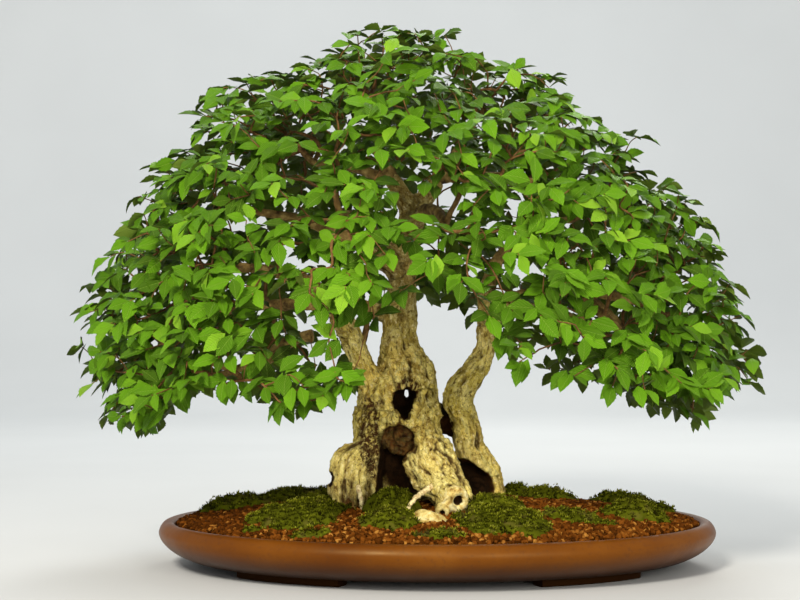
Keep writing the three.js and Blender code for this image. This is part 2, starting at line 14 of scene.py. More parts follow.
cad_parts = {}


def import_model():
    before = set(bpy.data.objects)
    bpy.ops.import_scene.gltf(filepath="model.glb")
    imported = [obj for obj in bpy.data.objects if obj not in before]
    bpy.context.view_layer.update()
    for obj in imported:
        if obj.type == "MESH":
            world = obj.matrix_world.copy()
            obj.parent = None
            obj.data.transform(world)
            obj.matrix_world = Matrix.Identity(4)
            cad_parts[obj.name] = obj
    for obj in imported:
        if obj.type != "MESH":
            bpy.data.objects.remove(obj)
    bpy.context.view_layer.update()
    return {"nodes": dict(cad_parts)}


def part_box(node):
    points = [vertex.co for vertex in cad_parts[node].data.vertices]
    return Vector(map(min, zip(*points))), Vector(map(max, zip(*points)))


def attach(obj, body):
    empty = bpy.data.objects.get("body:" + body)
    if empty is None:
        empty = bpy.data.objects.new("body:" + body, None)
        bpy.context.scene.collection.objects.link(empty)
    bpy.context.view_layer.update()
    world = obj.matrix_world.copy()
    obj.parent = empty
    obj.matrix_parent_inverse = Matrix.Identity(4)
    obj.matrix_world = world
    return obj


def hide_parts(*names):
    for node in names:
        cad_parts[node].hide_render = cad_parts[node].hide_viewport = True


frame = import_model()

MM = 0.001
pot_low, pot_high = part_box("pot")
POT_MIDDLE = np.array([(pot_low[0] + pot_high[0]) / 2, (pot_low[1] + pot_high[1]) / 2, 0.0])

# The camera stands level in front of the pot, and sees a millimetre of the pot's middle plane as a pixel
CAMERA = np.array([-37.0, -1880.0, 265.0])
LENS_MM = 84.6
SENSOR_MM = 36.0
MIDDLE_COLUMN = 400

rng = np.random.default_rng(71)

# Meshes


def world(points):
    """Metres in the model's frame, from millimetres from the middle of the pot."""
    return np.asarray(points, float) * MM + POT_MIDDLE


def add_object(name, part, material, smooth=True):
    points, *groups = part
    corners = [np.asarray(group, np.int64) for group in groups if len(group)]
    loops = np.concatenate([group.ravel() for group in corners])
    sizes = np.concatenate([np.full(len(group), group.shape[1]) for group in corners])
    starts = np.concatenate([[0], np.cumsum(sizes)[:-1]])
    mesh = bpy.data.meshes.new(name)
    mesh.vertices.add(len(points))
    mesh.vertices.foreach_set("co", world(points).astype(np.float32).ravel())
    mesh.loops.add(len(loops))
    mesh.loops.foreach_set("vertex_index", loops.astype(np.int32))
    mesh.polygons.add(len(sizes))
    mesh.polygons.foreach_set("loop_start", starts.astype(np.int32))
    mesh.polygons.foreach_set("use_smooth", np.full(len(sizes), smooth))
    mesh.update(calc_edges=True)
    obj = bpy.data.objects.new(name, mesh)
    bpy.context.scene.collection.objects.link(obj)
    mesh.materials.append(material)
    return obj


def set_attribute(obj, name, values, domain="POINT"):
    """A number or a vector for each vertex or face."""
    values = np.asarray(values, np.float32)
    kind, key = ("FLOAT_VECTOR", "vector") if values.ndim == 2 else ("FLOAT", "value")
    layer = obj.data.attributes.new(name, kind, domain)
    layer.data.foreach_set(key, values.ravel())


def set_uv(obj, uv_of_vertices):
    loops = np.zeros(len(obj.data.loops), np.int32)
    obj.data.loops.foreach_get("vertex_index", loops)
    layer = obj.data.uv_layers.new(name="UVMap")
    layer.data.foreach_set("uv", np.asarray(uv_of_vertices, np.float32)[loops].ravel())


def vertex_values(obj, key):
    values = np.zeros(len(obj.data.vertices) * 3, np.float32)
    obj.data.vertices.foreach_get(key, values)
    return values.reshape(-1, 3).astype(float)


def points_of(obj):
    return (vertex_values(obj, "co") - POT_MIDDLE) / MM


def set_points(obj, points):
    obj.data.vertices.foreach_set("co", world(points).astype(np.float32).ravel())
    obj.data.update()


def modify(obj, kind, **settings):
    """Adds a modifier and applies it."""
    modifier = obj.modifiers.new(kind.lower(), kind)
    for key, value in settings.items():
        setattr(modifier, key, value)
    depsgraph = bpy.context.evaluated_depsgraph_get()
    mesh = bpy.data.meshes.new_from_object(obj.evaluated_get(depsgraph))
    old = obj.data
    obj.modifiers.clear()
    obj.data = mesh
    bpy.data.meshes.remove(old)


def remesh(obj, voxel_mm):
    modify(obj, "REMESH", mode="VOXEL", voxel_size=voxel_mm * MM, use_smooth_shade=True)


def boolean(obj, part, operation, solver="MANIFOLD"):
    """Joins a part to the object, or cuts it out."""
    other = add_object("other", part, obj.data.materials[0])
    modify(obj, "BOOLEAN", operation=operation, solver=solver, object=other)
    bpy.data.objects.remove(other)


def finish_piece(obj, slot, *nodes):
    """Every piece rides on the one body, and may stand for some nodes of the frame."""
    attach(obj, "root")
    if nodes:
        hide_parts(*nodes)


def unit(vectors):
    vectors = np.asarray(vectors, float)
    return vectors / np.maximum(np.linalg.norm(vectors, axis=-1, keepdims=True), 1e-9)


def smoothstep(low, high, values):
    t = np.clip((np.asarray(values, float) - low) / (high - low), 0, 1)
    return t * t * (3 - 2 * t)


def circle(sides):
    """Angles at even steps round a circle."""
    return np.arange(sides) * 2 * math.pi / sides


def noise_at(points, scale, octaves=1, offset=0.0):
    """Smooth noise at points in millimetres, with features about scale millimetres apart."""
    shift = Vector((offset, 0, 0))
    if octaves == 1:
        return np.array([noise.noise(p / scale + shift) for p in map(Vector, points)])
    return np.array([noise.fractal(p / scale + shift, 0.6, 2.0, octaves) for p in map(Vector, points)])


def spline(route, spacing):
    """Points, with their radii if they have any, at even steps along a smooth curve through the route's."""
    route = np.asarray(route, float)
    ends = np.vstack([2 * route[0] - route[1], route, 2 * route[-1] - route[-2]])
    out = []
    for k in range(len(route) - 1):
        a, b, c, d = ends[k : k + 4]
        count = max(2, int(np.linalg.norm(c[:3] - b[:3]) / spacing) + 1)
        square, cube = 2 * a - 5 * b + 4 * c - d, 3 * b - a - 3 * c + d
        for t in np.arange(count) / count:
            out.append(0.5 * (2 * b + (c - a) * t + square * t**2 + cube * t**3))
    out.append(route[-1])
    return np.array(out)


def tube_frames(path):
    """Tangents, normals and binormals that turn as little as they can along a path."""
    tangents = unit(np.gradient(path, axis=0))
    normal = np.cross(tangents[0], [0.3, 1.0, 0.2])
    normal /= np.linalg.norm(normal)
    normals = []
    for tangent in tangents:
        normal = normal - tangent * np.dot(normal, tangent)
        normal /= np.linalg.norm(normal)
        normals.append(normal)
    normals = np.array(normals)
    return tangents, normals, np.cross(tangents, normals)


def skin(rings, low_end, high_end):
    """A closed part over a stack of rings, with a point to close each end."""
    count, sides = rings.shape[:2]
    first = np.arange(sides)
    after = (first + 1) % sides
    steps = np.arange(count - 1)[:, None] * sides
    here, beside = steps + first, steps + after
    quads = np.stack([here, beside, beside + sides, here + sides], -1).reshape(-1, 4)
    last = (count - 1) * sides
    low = np.stack([after, first, np.full(sides, count * sides)], -1)
    high = np.stack([first + last, after + last, np.full(sides, count * sides + 1)], -1)
    return np.vstack([rings.reshape(-1, 3), low_end, high_end]), quads, np.vstack([low, high])


def tube(path, radii, sides, ripple=None):
    """A closed tube with bluntly pointed ends. ripple(step, angle) scales its radius."""
    point = 0.3
    tangents, normals, binormals = tube_frames(path)
    angle = circle(sides)
    reach = radii[:, None] * np.ones(sides)
    if ripple is not None:
        reach = reach * ripple(np.arange(len(path))[:, None], angle[None, :])
    across = reach[..., None] * np.cos(angle)[None, :, None] * normals[:, None]
    rings = path[:, None] + across + reach[..., None] * np.sin(angle)[None, :, None] * binormals[:, None]
    return skin(rings, path[0] - tangents[0] * radii[0] * point, path[-1] + tangents[-1] * radii[-1] * point)


def wood_tube(route, sides, ripple=None):
    line = spline(route, 4)
    return tube(line[:, :3], line[:, 3], sides, ripple)


def ellipsoid(at, radii, wobble):
    around, down = 40, 24
    theta = np.linspace(math.pi, 0, down + 1)[1:-1, None]
    phi = circle(around)
    reach, height = np.sin(theta), np.cos(theta)
    rings = np.stack([reach * np.cos(phi), reach * np.sin(phi), height + 0 * phi], -1)
    points, quads, triangles = skin(rings, (0, 0, -1), (0, 0, 1))
    points = points * (1 + wobble * noise_at(points, 0.6, 2, at[0]))[:, None]
    return points * np.asarray(radii) + np.asarray(at), quads, triangles


def outline_solid(outline, middle, layers):
    """A solid with an outline in X and Z, scaled about its middle at each Y."""
    flat, middle = np.array(outline, float), np.array(middle, float)
    rings = np.stack([np.insert(middle + (flat - middle) * scale, 1, y, axis=1) for y, scale in layers])
    return skin(rings, np.insert(middle, 1, layers[0][0]), np.insert(middle, 1, layers[-1][0]))


def merged(parts):
    """Joins parts of points, quads and triangles into one."""
    points, quads, triangles, base = [], [], [], 0
    for part_points, part_quads, part_triangles in parts:
        points.append(part_points)
        quads.append(np.asarray(part_quads).reshape(-1, 4) + base)
        triangles.append(np.asarray(part_triangles).reshape(-1, 3) + base)
        base += len(part_points)
    return np.vstack(points), np.vstack(quads).astype(int), np.vstack(triangles).astype(int)


# Materials


class Look:
    """A procedural material, built node by node."""

    def __init__(self, name, roughness, specular=None, tint=None):
        self.material = bpy.data.materials.new(name)
        self.material.use_nodes = True
        self.nodes = self.material.node_tree.nodes
        self.links = self.material.node_tree.links
        self.shader = self.nodes["Principled BSDF"]
        self.shader.inputs["Roughness"].default_value = roughness
        if specular is not None:
            self.shader.inputs["Specular IOR Level"].default_value = specular
        if tint is not None:
            self.shader.inputs["Specular Tint"].default_value = (*tint, 1)

    def node(self, kind, **settings):
        made = self.nodes.new(kind)
        for key, value in settings.items():
            setattr(made, key, value)
        return made

    def join(self, output, target):
        self.links.new(output, target)

    def drive(self, socket, output):
        """Links an output to one of the shader's own sockets."""
        self.join(output, self.shader.inputs[socket])

    def attribute(self, name, output="Fac"):
        return self.node("ShaderNodeAttribute", attribute_name=name).outputs[output]

    def position(self):
        return self.node("ShaderNodeTexCoord").outputs["Object"]

    def noise(self, scale, detail=4, vector=None, roughness=0.55):
        made = self.node("ShaderNodeTexNoise")
        made.inputs["Scale"].default_value = scale
        made.inputs["Detail"].default_value = detail
        made.inputs["Roughness"].default_value = roughness
        self.join(vector if vector is not None else self.position(), made.inputs["Vector"])
        return made.outputs["Fac"]

    def cells(self, scale, vector=None, feature="F1", output="Distance"):
        made = self.node("ShaderNodeTexVoronoi", feature=feature)
        made.inputs["Scale"].default_value = scale
        self.join(vector if vector is not None else self.position(), made.inputs["Vector"])
        return made.outputs[output]

    def warped(self, vector, scale, reach):
        """The vector, shifted by noise."""
        made = self.node("ShaderNodeTexNoise")
        made.inputs["Scale"].default_value = scale
        self.join(vector, made.inputs["Vector"])
        shift = self.node("ShaderNodeVectorMath", operation="MULTIPLY_ADD")
        self.join(made.outputs["Color"], shift.inputs[0])
        shift.inputs[1].default_value = (reach, reach, reach)
        self.join(vector, shift.inputs[2])
        return shift.outputs["Vector"]

    def stretched(self, vector, z):
        made = self.node("ShaderNodeMapping")
        made.inputs["Scale"].default_value = (1, 1, z)
        self.join(vector, made.inputs["Vector"])
        return made.outputs["Vector"]

    def ramp(self, value, *stops):
        """Colours or greys along a value, from stops of a place and a colour or grey."""
        made = self.node("ShaderNodeValToRGB")
        elements = made.color_ramp.elements
        while len(elements) < len(stops):
            elements.new(0.5)
        for element, (place, colour) in zip(elements, stops):
            element.position = place
            element.color = (*colour, 1) if isinstance(colour, tuple) else (colour, colour, colour, 1)
        self.join(value, made.inputs["Fac"])
        return made.outputs["Color"]

    def mix(self, factor, a, b, blend="MIX"):
        made = self.node("ShaderNodeMix", data_type="RGBA", blend_type=blend)
        for socket, value in ((made.inputs["Factor"], factor), (made.inputs["A"], a), (made.inputs["B"], b)):
            if isinstance(value, (int, float)):
                socket.default_value = value if socket.name == "Factor" else (value, value, value, 1)
            elif isinstance(value, tuple):
                socket.default_value = (*value, 1)
            else:
                self.join(value, socket)
        return made.outputs["Result"]

    def math(self, operation, *values):
        made = self.node("ShaderNodeMath", operation=operation)
        for socket, value in zip(made.inputs, values):
            if isinstance(value, (int, float)):
                socket.default_value = value
            else:
                self.join(value, socket)
        return made.outputs["Value"]

    def bump(self, height, strength, distance_mm):
        made = self.node("ShaderNodeBump")
        made.inputs["Strength"].default_value = strength
        made.inputs["Distance"].default_value = distance_mm * MM
        self.join(height, made.inputs["Height"])
        self.drive("Normal", made.outputs["Normal"])


def sound_bark(look, grain, edges, mottle, flakes):
    """Tan and olive bark in flakes, paler at the foot's front with a painted highlight, and browner above."""
    tan_stops = (0.36, (0.4, 0.25, 0.045)), (0.5, (0.8, 0.6, 0.13)), (0.62, (0.98, 0.86, 0.3))
    olive_stops = (0.37, (0.33, 0.24, 0.032)), (0.48, (0.74, 0.6, 0.1)), (0.6, (0.98, 0.87, 0.3))
    tan = look.ramp(look.noise(0.2, 6, grain, roughness=0.68), *tan_stops)
    patches = look.ramp(look.noise(14, 3), (0.42, 0.0), (0.6, 0.8))
    base = look.mix(patches, tan, look.ramp(mottle, *olive_stops))
    flake_tone = look.ramp(look.cells(0.19, edges, output="Color"), (0.25, 0.7), (0.75, 1.0))
    base = look.mix(0.8, base, look.mix(1.0, base, flake_tone, "MULTIPLY"))
    # Painted highlight: lighter low down on the front of the legs, where the light falls
    base = look.mix(look.attribute("foot"), base, look.mix(0.5, base, (0.66, 0.55, 0.2)))
    base = look.mix(look.attribute("upper"), base, look.mix(0.62, base, (0.2, 0.13, 0.055)))
    base = look.mix(look.ramp(flakes, (0.38, 0.9), (0.45, 0.0)), base, (0.1, 0.05, 0.01))
    # Cream flecks on the raised flakes: partly pale bark, partly painted highlight
    return look.mix(look.ramp(flakes, (0.55, 0.0), (0.64, 0.75)), base, (0.98, 0.87, 0.45))


def bark_look():
    look = Look("bark", 0.8, 0.12, (1, 0.85, 0.5))
    grain = look.stretched(look.attribute("grain", "Vector"), 0.25)
    flaky = look.stretched(grain, 2.4)
    edges = look.warped(flaky, 0.35, 5.0)
    mottle = look.noise(60, 6, roughness=0.7)
    flakes = look.noise(0.36, 5, flaky, roughness=0.74)
    base = sound_bark(look, grain, edges, mottle, flakes)
    crack = look.ramp(look.cells(0.19, edges, "DISTANCE_TO_EDGE"), (0.0, 0.5), (0.09, 0.0))
    base = look.mix(crack, base, (0.14, 0.075, 0.018))
    # Painted shade in the grooves: the deeper the relief sinks the bark, the darker it is
    painted_groove_shade = look.ramp(look.attribute("relief"), (0.08, 0.95), (0.42, 0.0))
    base = look.mix(painted_groove_shade, base, (0.05, 0.022, 0.007))
    fleck = look.ramp(look.noise(0.3, 5, flaky, roughness=0.75), (0.49, 1.0), (0.57, 0.12))
    base = look.mix(look.math("MULTIPLY", look.attribute("scaly"), fleck), base, (0.05, 0.02, 0.007))
    # Red-brown rot and stain, which in the slit and the carved places is also painted shade
    red_stops = (0.34, (0.022, 0.009, 0.003)), (0.52, (0.11, 0.038, 0.011)), (0.7, (0.21, 0.08, 0.018))
    base = look.mix(look.attribute("rot_and_shade"), base, look.ramp(look.noise(150, 5), *red_stops))
    # Painted shade, nearly black, in the hollows, carved places, slit, crease round the knob and sawn ends'
    # sunken middles; the knob's own darker brown comes in here too
    base = look.mix(look.attribute("deep"), base, (0.007, 0.003, 0.0015))
    pale_stops = (0.34, (0.34, 0.19, 0.045)), (0.48, (0.76, 0.58, 0.19)), (0.64, (0.95, 0.84, 0.44))
    pale = look.ramp(look.noise(160, 4), *pale_stops)
    look.drive("Base Color", look.mix(look.attribute("cut"), base, pale))
    look.drive("Roughness", look.ramp(mottle, (0.3, 0.6), (0.7, 0.85)))
    fine = look.math("ADD", look.noise(0.5, 6, grain), flakes)
    look.bump(look.math("SUBTRACT", fine, look.math("MULTIPLY", crack, 0.25)), 1.0, 2.2)
    return look.material


def twig_look():
    look = Look("twig", 0.7, 0.15)
    coarse = look.noise(90, 6, roughness=0.68)
    old_stops = (0.34, (0.05, 0.028, 0.008)), (0.5, (0.2, 0.13, 0.036)), (0.68, (0.46, 0.34, 0.11))
    old = look.ramp(coarse, *old_stops)
    young = look.ramp(look.noise(180, 3), (0.3, (0.07, 0.034, 0.011)), (0.7, (0.21, 0.105, 0.032)))
    look.drive("Base Color", look.mix(look.attribute("thin"), old, young))
    look.bump(coarse, 0.8, 1.2)
    return look.material


def leaf_look():
    """Green by the leaf's tone, with a midrib along UV's Y and side veins that run forward from it."""
    vein_pairs, vein_slant = 7, 0.75
    look = Look("leaf", 0.42, 0.2, (0.75, 1, 0.3))
    tone = look.attribute("tone")
    # The tone is lower for leaves deep in the crown: painted shade
    face = look.ramp(tone, (0.0, (0.01, 0.026, 0.0005)), (0.3, (0.033, 0.094, 0.0008)),
                     (0.55, (0.059, 0.169, 0.001)), (0.8, (0.102, 0.265, 0.003)), (1.0, (0.22, 0.42, 0.02)))
    back = look.ramp(tone, (0.0, (0.035, 0.06, 0.006)), (1.0, (0.15, 0.23, 0.03)))
    mottle = look.noise(160, 3)
    dull = look.mix(1.0, face, (0.65, 0.8, 0.6), "MULTIPLY")
    colour = look.mix(look.ramp(mottle, (0.3, 0.0), (0.7, 0.35)), face, dull)
    parts = look.node("ShaderNodeSeparateXYZ")
    look.join(look.node("ShaderNodeTexCoord").outputs["UV"], parts.inputs["Vector"])
    across = look.math("ABSOLUTE", parts.outputs["X"])
    along = look.math("SUBTRACT", parts.outputs["Y"], look.math("MULTIPLY", across, vein_slant))
    wave = look.math("SINE", look.math("MULTIPLY", along, 2 * math.pi * vein_pairs))
    vein = look.ramp(look.math("MULTIPLY_ADD", wave, 0.5, 0.5), (0.6, 0.0), (0.97, 1.0))
    rib = look.ramp(across, (0.0, 1.0), (0.05, 0.0))
    lines = look.math("MAXIMUM", look.math("MULTIPLY", vein, 0.6), rib)
    colour = look.mix(look.math("MULTIPLY", lines, 0.6), colour, (0.26, 0.4, 0.06))
    look.drive("Base Color", look.mix(look.attribute("under"), colour, back))
    look.drive("Roughness", look.ramp(mottle, (0.3, 0.36), (0.7, 0.5)))
    look.bump(look.math("SUBTRACT", look.math("MULTIPLY", wave, -0.3), lines), 0.8, 0.8)
    return look.material


def granule_look():
    look = Look("granules", 0.95, 0.03)
    base = look.ramp(look.attribute("tone"), (0.0, (0.018, 0.005, 0.0005)), (0.4, (0.078, 0.021, 0.002)),
                     (0.75, (0.18, 0.055, 0.006)), (1.0, (0.4, 0.18, 0.032)))
    dust = look.ramp(look.noise(900, 3), (0.35, 0.0), (0.75, 0.5))
    look.drive("Base Color", look.mix(dust, base, (0.13, 0.04, 0.004)))
    look.bump(look.noise(1500, 4), 0.6, 0.4)
    return look.material


def moss_look():
    look = Look("moss", 0.95, 0.03)
    base = look.ramp(look.attribute("tone"), (0.0, (0.018, 0.017, 0.001)), (0.4, (0.088, 0.1, 0.004)),
                     (0.75, (0.29, 0.3, 0.015)), (1.0, (0.75, 0.74, 0.18)))
    brown = look.ramp(look.noise(55, 4), (0.56, 0.0), (0.72, 0.6))
    look.drive("Base Color", look.mix(brown, base, (0.12, 0.09, 0.025)))
    look.bump(look.noise(1400, 4), 0.6, 0.8)
    return look.material


def pot_look():
    look = Look("pot_clay", 0.4, tint=(1, 0.74, 0.35))
    fine = look.noise(240, 5)
    low = look.attribute("low")
    base = look.ramp(look.noise(9, 5), (0.3, (0.088, 0.023, 0.002)), (0.55, (0.128, 0.038, 0.003)),
                     (0.75, (0.168, 0.056, 0.006)))
    speck = look.ramp(fine, (0.32, 0.7), (0.46, 0.0))
    base = look.mix(look.math("MULTIPLY", speck, 0.5), base, (0.06, 0.022, 0.01))
    # Painted shade darkens the wall low down, where it turns under
    look.drive("Base Color", look.mix(look.ramp(low, (0.0, 0.0), (1.0, 0.94)), base, (0.016, 0.006, 0.002)))
    look.drive("Specular IOR Level", look.ramp(low, (0.0, 0.2), (1.0, 0.02)))
    look.drive("Roughness", look.ramp(look.noise(30, 4), (0.3, 0.32), (0.7, 0.46)))
    look.bump(look.math("ADD", look.noise(60, 3), look.math("MULTIPLY", fine, 0.4)), 0.25, 0.6)
    return look.material


def screen_look():
    look = Look("screen_mesh", 0.6)
    weave = look.cells(420)
    look.drive("Base Color", look.ramp(weave, (0.2, (0.012, 0.012, 0.012)), (0.8, (0.05, 0.05, 0.05))))
    look.bump(weave, 0.5, 0.5)
    return look.material


def floor_look():
    look = Look("floor", 0.75)
    shade = look.ramp(look.noise(1.5, 3), (0.3, (0.56, 0.565, 0.57)), (0.7, (0.6, 0.605, 0.61)))
    look.drive("Base Color", shade)
    look.bump(look.noise(60, 3), 0.03, 1)
    return look.material


def rootlet_look():
    look = Look("rootlet", 0.7)
    pale = look.ramp(look.noise(300, 4), (0.35, (0.45, 0.27, 0.1)), (0.6, (0.95, 0.81, 0.42)))
    look.drive("Base Color", pale)
    look.bump(look.noise(700, 3), 0.4, 0.4)
    return look.material


BARK = bark_look()
ROOTLET = rootlet_look()
TWIG = twig_look()
LEAF = leaf_look()
GRANULE = granule_look()
MOSS_LOOK = moss_look()
CLAY = pot_look()
SCREEN = screen_look()
FLOOR = floor_look()

# Camera and light, in metres and watts

LAMPS_AT = (0, 0, 0.3)
LAMPS = [
    ("key", (-0.9, -2.6, 1.9), LAMPS_AT, 0.7, 106, (1, 0.94, 0.82)),
    ("fill", (1.0, -2.4, 0.75), LAMPS_AT, 1.3, 34, (1, 0.95, 0.84)),
    ("back", (0.6, 2.1, 1.9), LAMPS_AT, 1.2, 24, (1, 0.99, 0.92)),
    ("wall", (0.0, 1.4, 3.2), (0, 3.7, 0.9), 2.0, 42, (0.8, 0.92, 1)),
]
FLOOR_HALF_WIDTH = 8.0
FLOOR_FRONT = -6.0
BEND_START = 2.4
BEND_RADIUS = 1.3
BEND_STEPS = 16
WALL_TOP = 6.0


def add_camera():
    data = bpy.data.cameras.new("camera")
    data.lens = LENS_MM
    data.sensor_width = SENSOR_MM
    data.clip_end = 50
    camera = bpy.data.objects.new("camera", data)
    camera.location = world(CAMERA)
    camera.rotation_euler = (math.pi / 2, 0, 0)
    bpy.context.scene.collection.objects.link(camera)
    bpy.context.scene.camera = camera


def add_lamp(name, place, target, size, watts, colour):
    data = bpy.data.lights.new(name, "AREA")
    data.shape = "DISK"
    data.size = size
    data.energy = watts
    data.color = colour
    lamp = bpy.data.objects.new(name, data)
    lamp.location = place
    direction = Vector(target) - Vector(place)
    lamp.rotation_euler = direction.to_track_quat("-Z", "Y").to_euler()
    bpy.context.scene.collection.objects.link(lamp)


def add_stage():
    """A pale floor that bends up into a wall, and a soft light from all round."""
    turn = np.linspace(0, math.pi / 2, BEND_STEPS + 1)
    bend = np.column_stack([BEND_START + BEND_RADIUS * np.sin(turn), BEND_RADIUS * (1 - np.cos(turn))])
    profile = [(FLOOR_FRONT, 0.0), *map(tuple, bend), (BEND_START + BEND_RADIUS, WALL_TOP)]
    corners = [(x, y, z) for y, z in profile for x in (-FLOOR_HALF_WIDTH, FLOOR_HALF_WIDTH)]
    faces = [(2 * k, 2 * k + 1, 2 * k + 3, 2 * k + 2) for k in range(len(profile) - 1)]
    mesh = bpy.data.meshes.new("floor")
    mesh.from_pydata(corners, [], faces)
    mesh.shade_smooth()
    mesh.materials.append(FLOOR)
    floor = bpy.data.objects.new("floor", mesh)
    bpy.context.scene.collection.objects.link(floor)
    sky = bpy.data.worlds.new("studio")
    sky.use_nodes = True
    background = sky.node_tree.nodes["Background"]
    background.inputs["Color"].default_value = (0.92, 0.94, 0.93, 1)
    background.inputs["Strength"].default_value = 0.62
    bpy.context.scene.world = sky
    bpy.context.scene.view_settings.view_transform = "Standard"
    for lamp in LAMPS:
        add_lamp(*lamp)


# Pot

POT_HALF_LENGTH = 277.0
POT_HALF_DEPTH = 207.0
OVAL_DIFFERENCE = POT_HALF_LENGTH - POT_HALF_DEPTH
OVAL_FLOOR = 200.0
# Half length and height, from the middle of the underside over the rim to the middle of the floor
POT_PROFILE = [
    (0, 7), (215, 7), (231, 7.2), (245, 9), (262, 16.5), (273, 26), (277, 35), (274, 42.5), (270.5, 45.3),
    (267, 46), (263.6, 45.2), (261, 43), (259.5, 38), (254, 24), (236, 14), (0, 14),
]
POT_SIDES = 160
FOOT_SECTION = [(213, 9), (213, 1.4), (214.5, 0), (230.5, 0), (232, 1.4), (232, 9)]
FOOT_TURNS = (34, 66, 25)
DRAIN_X = 120
DRAIN_RADIUS = 11
DRAIN_SIDES = 40
# Heights between which painted shade darkens the pot towards its foot
POT_SHADE = (11, 29)


def half_depth(half_length):
    """An oval's half depth: a fixed amount less than its half length, or in proportion near the middle."""
    even = half_length * (OVAL_FLOOR - OVAL_DIFFERENCE) / OVAL_FLOOR
    return np.where(half_length >= OVAL_FLOOR, half_length - OVAL_DIFFERENCE, even)


def rounded(profile):
    """The profile with its corners between the two ends drawn as a smooth line through its middles too."""
    middles = spline(profile[1:-1], POT_HALF_LENGTH)
    return [profile[0], *map(tuple, spline(middles, 2.5)), profile[-1]]


def lathe(profile, sides):
    """An oval solid from a profile that starts and ends on the axis."""
    reach, height = np.array(profile[1:-1], float).T[:, :, None]
    turn = circle(sides)
    rings = np.stack([reach * np.cos(turn), half_depth(reach) * np.sin(turn), height + 0 * turn], -1)
    return skin(rings, (0, 0, profile[0][1]), (0, 0, profile[-1][1]))


def pot_foot(sign_x, sign_y):
    """A bar foot that follows the oval, its lower edges rounded."""
    reach, height = np.array(FOOT_SECTION).T
    turns = np.radians(np.linspace(*FOOT_TURNS))[:: sign_x * sign_y, None]
    y = sign_y * half_depth(reach) * np.sin(turns)
    rings = np.stack([sign_x * reach * np.cos(turns), y, height + 0 * turns], -1)
    return skin(rings, rings[0].mean(axis=0), rings[-1].mean(axis=0))


def drain_drill(sign):
    low, high = -5, 30
    turn = circle(DRAIN_SIDES)
    x, y = sign * DRAIN_X + DRAIN_RADIUS * np.cos(turn), DRAIN_RADIUS * np.sin(turn)
    rings = np.stack([np.column_stack([x, y, np.full(DRAIN_SIDES, z)]) for z in (low, high)])
    return skin(rings, (sign * DRAIN_X, 0, low), (sign * DRAIN_X, 0, high))


def add_pot():
    pot = add_object("pot_piece", lathe(rounded(POT_PROFILE), POT_SIDES), CLAY)
    for sign_x in (1, -1):
        for sign_y in (1, -1):
            boolean(pot, pot_foot(sign_x, sign_y), "UNION", "EXACT")
    for sign in (1, -1):
        boolean(pot, drain_drill(sign), "DIFFERENCE", "EXACT")
    bottom, top = POT_SHADE
    # How far each point lies in the painted shade low on the wall
    set_attribute(pot, "low", np.clip((top - points_of(pot)[:, 2]) / (top - bottom), 0, 1))
    pot.data.shade_smooth()
    pot.data.set_sharp_from_angle(angle=math.radians(40))
    finish_piece(pot, "pot_clay", "pot")


# Wood

# Routes of (x, y, z, radius), most of them as in the part's source
TRUNKS = [
    [(-42, 2, 100, 27), (-40, 2, 135, 40), (-38, 0, 165, 39), (-34, 0, 190, 30), (-37, 0, 215, 19.5),
     (-38, 2, 238, 16), (-36.5, 4, 265, 14), (-34, 4, 295, 13), (-29, 5, 325, 12.5), (-23, 8, 360, 11)],
    [(51, 17, 44, 20), (51, 17, 66, 18), (48, 15, 84, 17), (40, 11, 100, 15), (32, 8, 116, 14.5),
     (30, 7, 132, 14), (25.5, 7, 149, 12.8), (21, 7, 163, 14.2), (26, 7, 178, 14), (36, 7, 190, 12.8),
     (45, 8, 204, 11.2), (50, 8, 220, 9.5), (50, 8, 250, 9)],
    [(-55, -2, 150, 24), (-65, -9, 130, 16.5), (-68, -13, 112, 13.5), (-68, -14, 94, 13.5),
     (-66, -14, 70, 14), (-66, -14, 40, 12)],
    [(-71, -20, 117, 11), (-85, -31, 104, 16), (-89, -40, 87, 17), (-89, -44, 70, 16), (-88, -46, 56, 13),
     (-88, -47, 42, 10)],
    [(-20, -8, 150, 22), (-15, -18, 130, 18), (-10, -29, 114, 22.5), (-7, -39, 101, 24.5), (4, -52, 86, 21),
     (13, -62, 74, 17.5), (17, -70, 62, 15), (18, -74, 44, 12)],
    [(-12, 18, 158, 14), (4, 27, 144, 11), (24, 24, 134, 10)],
    [(-12, 4, 98, 18), (8, 10, 84, 17), (28, 14, 72, 18), (46, 16, 60, 18)],
    [(-40, 10, 140, 28), (-36, 16, 105, 28), (-36, 22, 72, 28), (-38, 26, 40, 27)],
]
ROOTS = [
    [(-44, 34, 96, 18), (-54, 52, 72, 14), (-64, 72, 42, 10)],
    [(-22, 30, 92, 17), (-8, 50, 70, 13), (4, 72, 42, 9)],
    [(46, 14, 84, 13), (56, 10, 70, 11), (66, 6, 57, 8), (76, 4, 44, 5)],
    [(46, 20, 80, 14), (60, 40, 64, 10), (74, 60, 48, 7)],
    [(-84, -20, 78, 14), (-104, -4, 64, 9), (-124, 8, 50, 6)],
    [(-24, -115, 61, 5), (-15, -119, 60.5, 8.5), (-4, -120, 57.5, 8.2), (4, -115, 53.5, 6.8),
     (11, -105, 50, 6), (16, -88, 47, 8)],
]
ROOTLETS = [
    [(-78, -54, 84, 2.6), (-75, -64, 73, 2.2), (-72, -72, 56, 1.8)],
    [(-4, -68, 87, 2.8), (-23, -93, 76, 2.2), (-34, -106, 60, 1.8)],
]
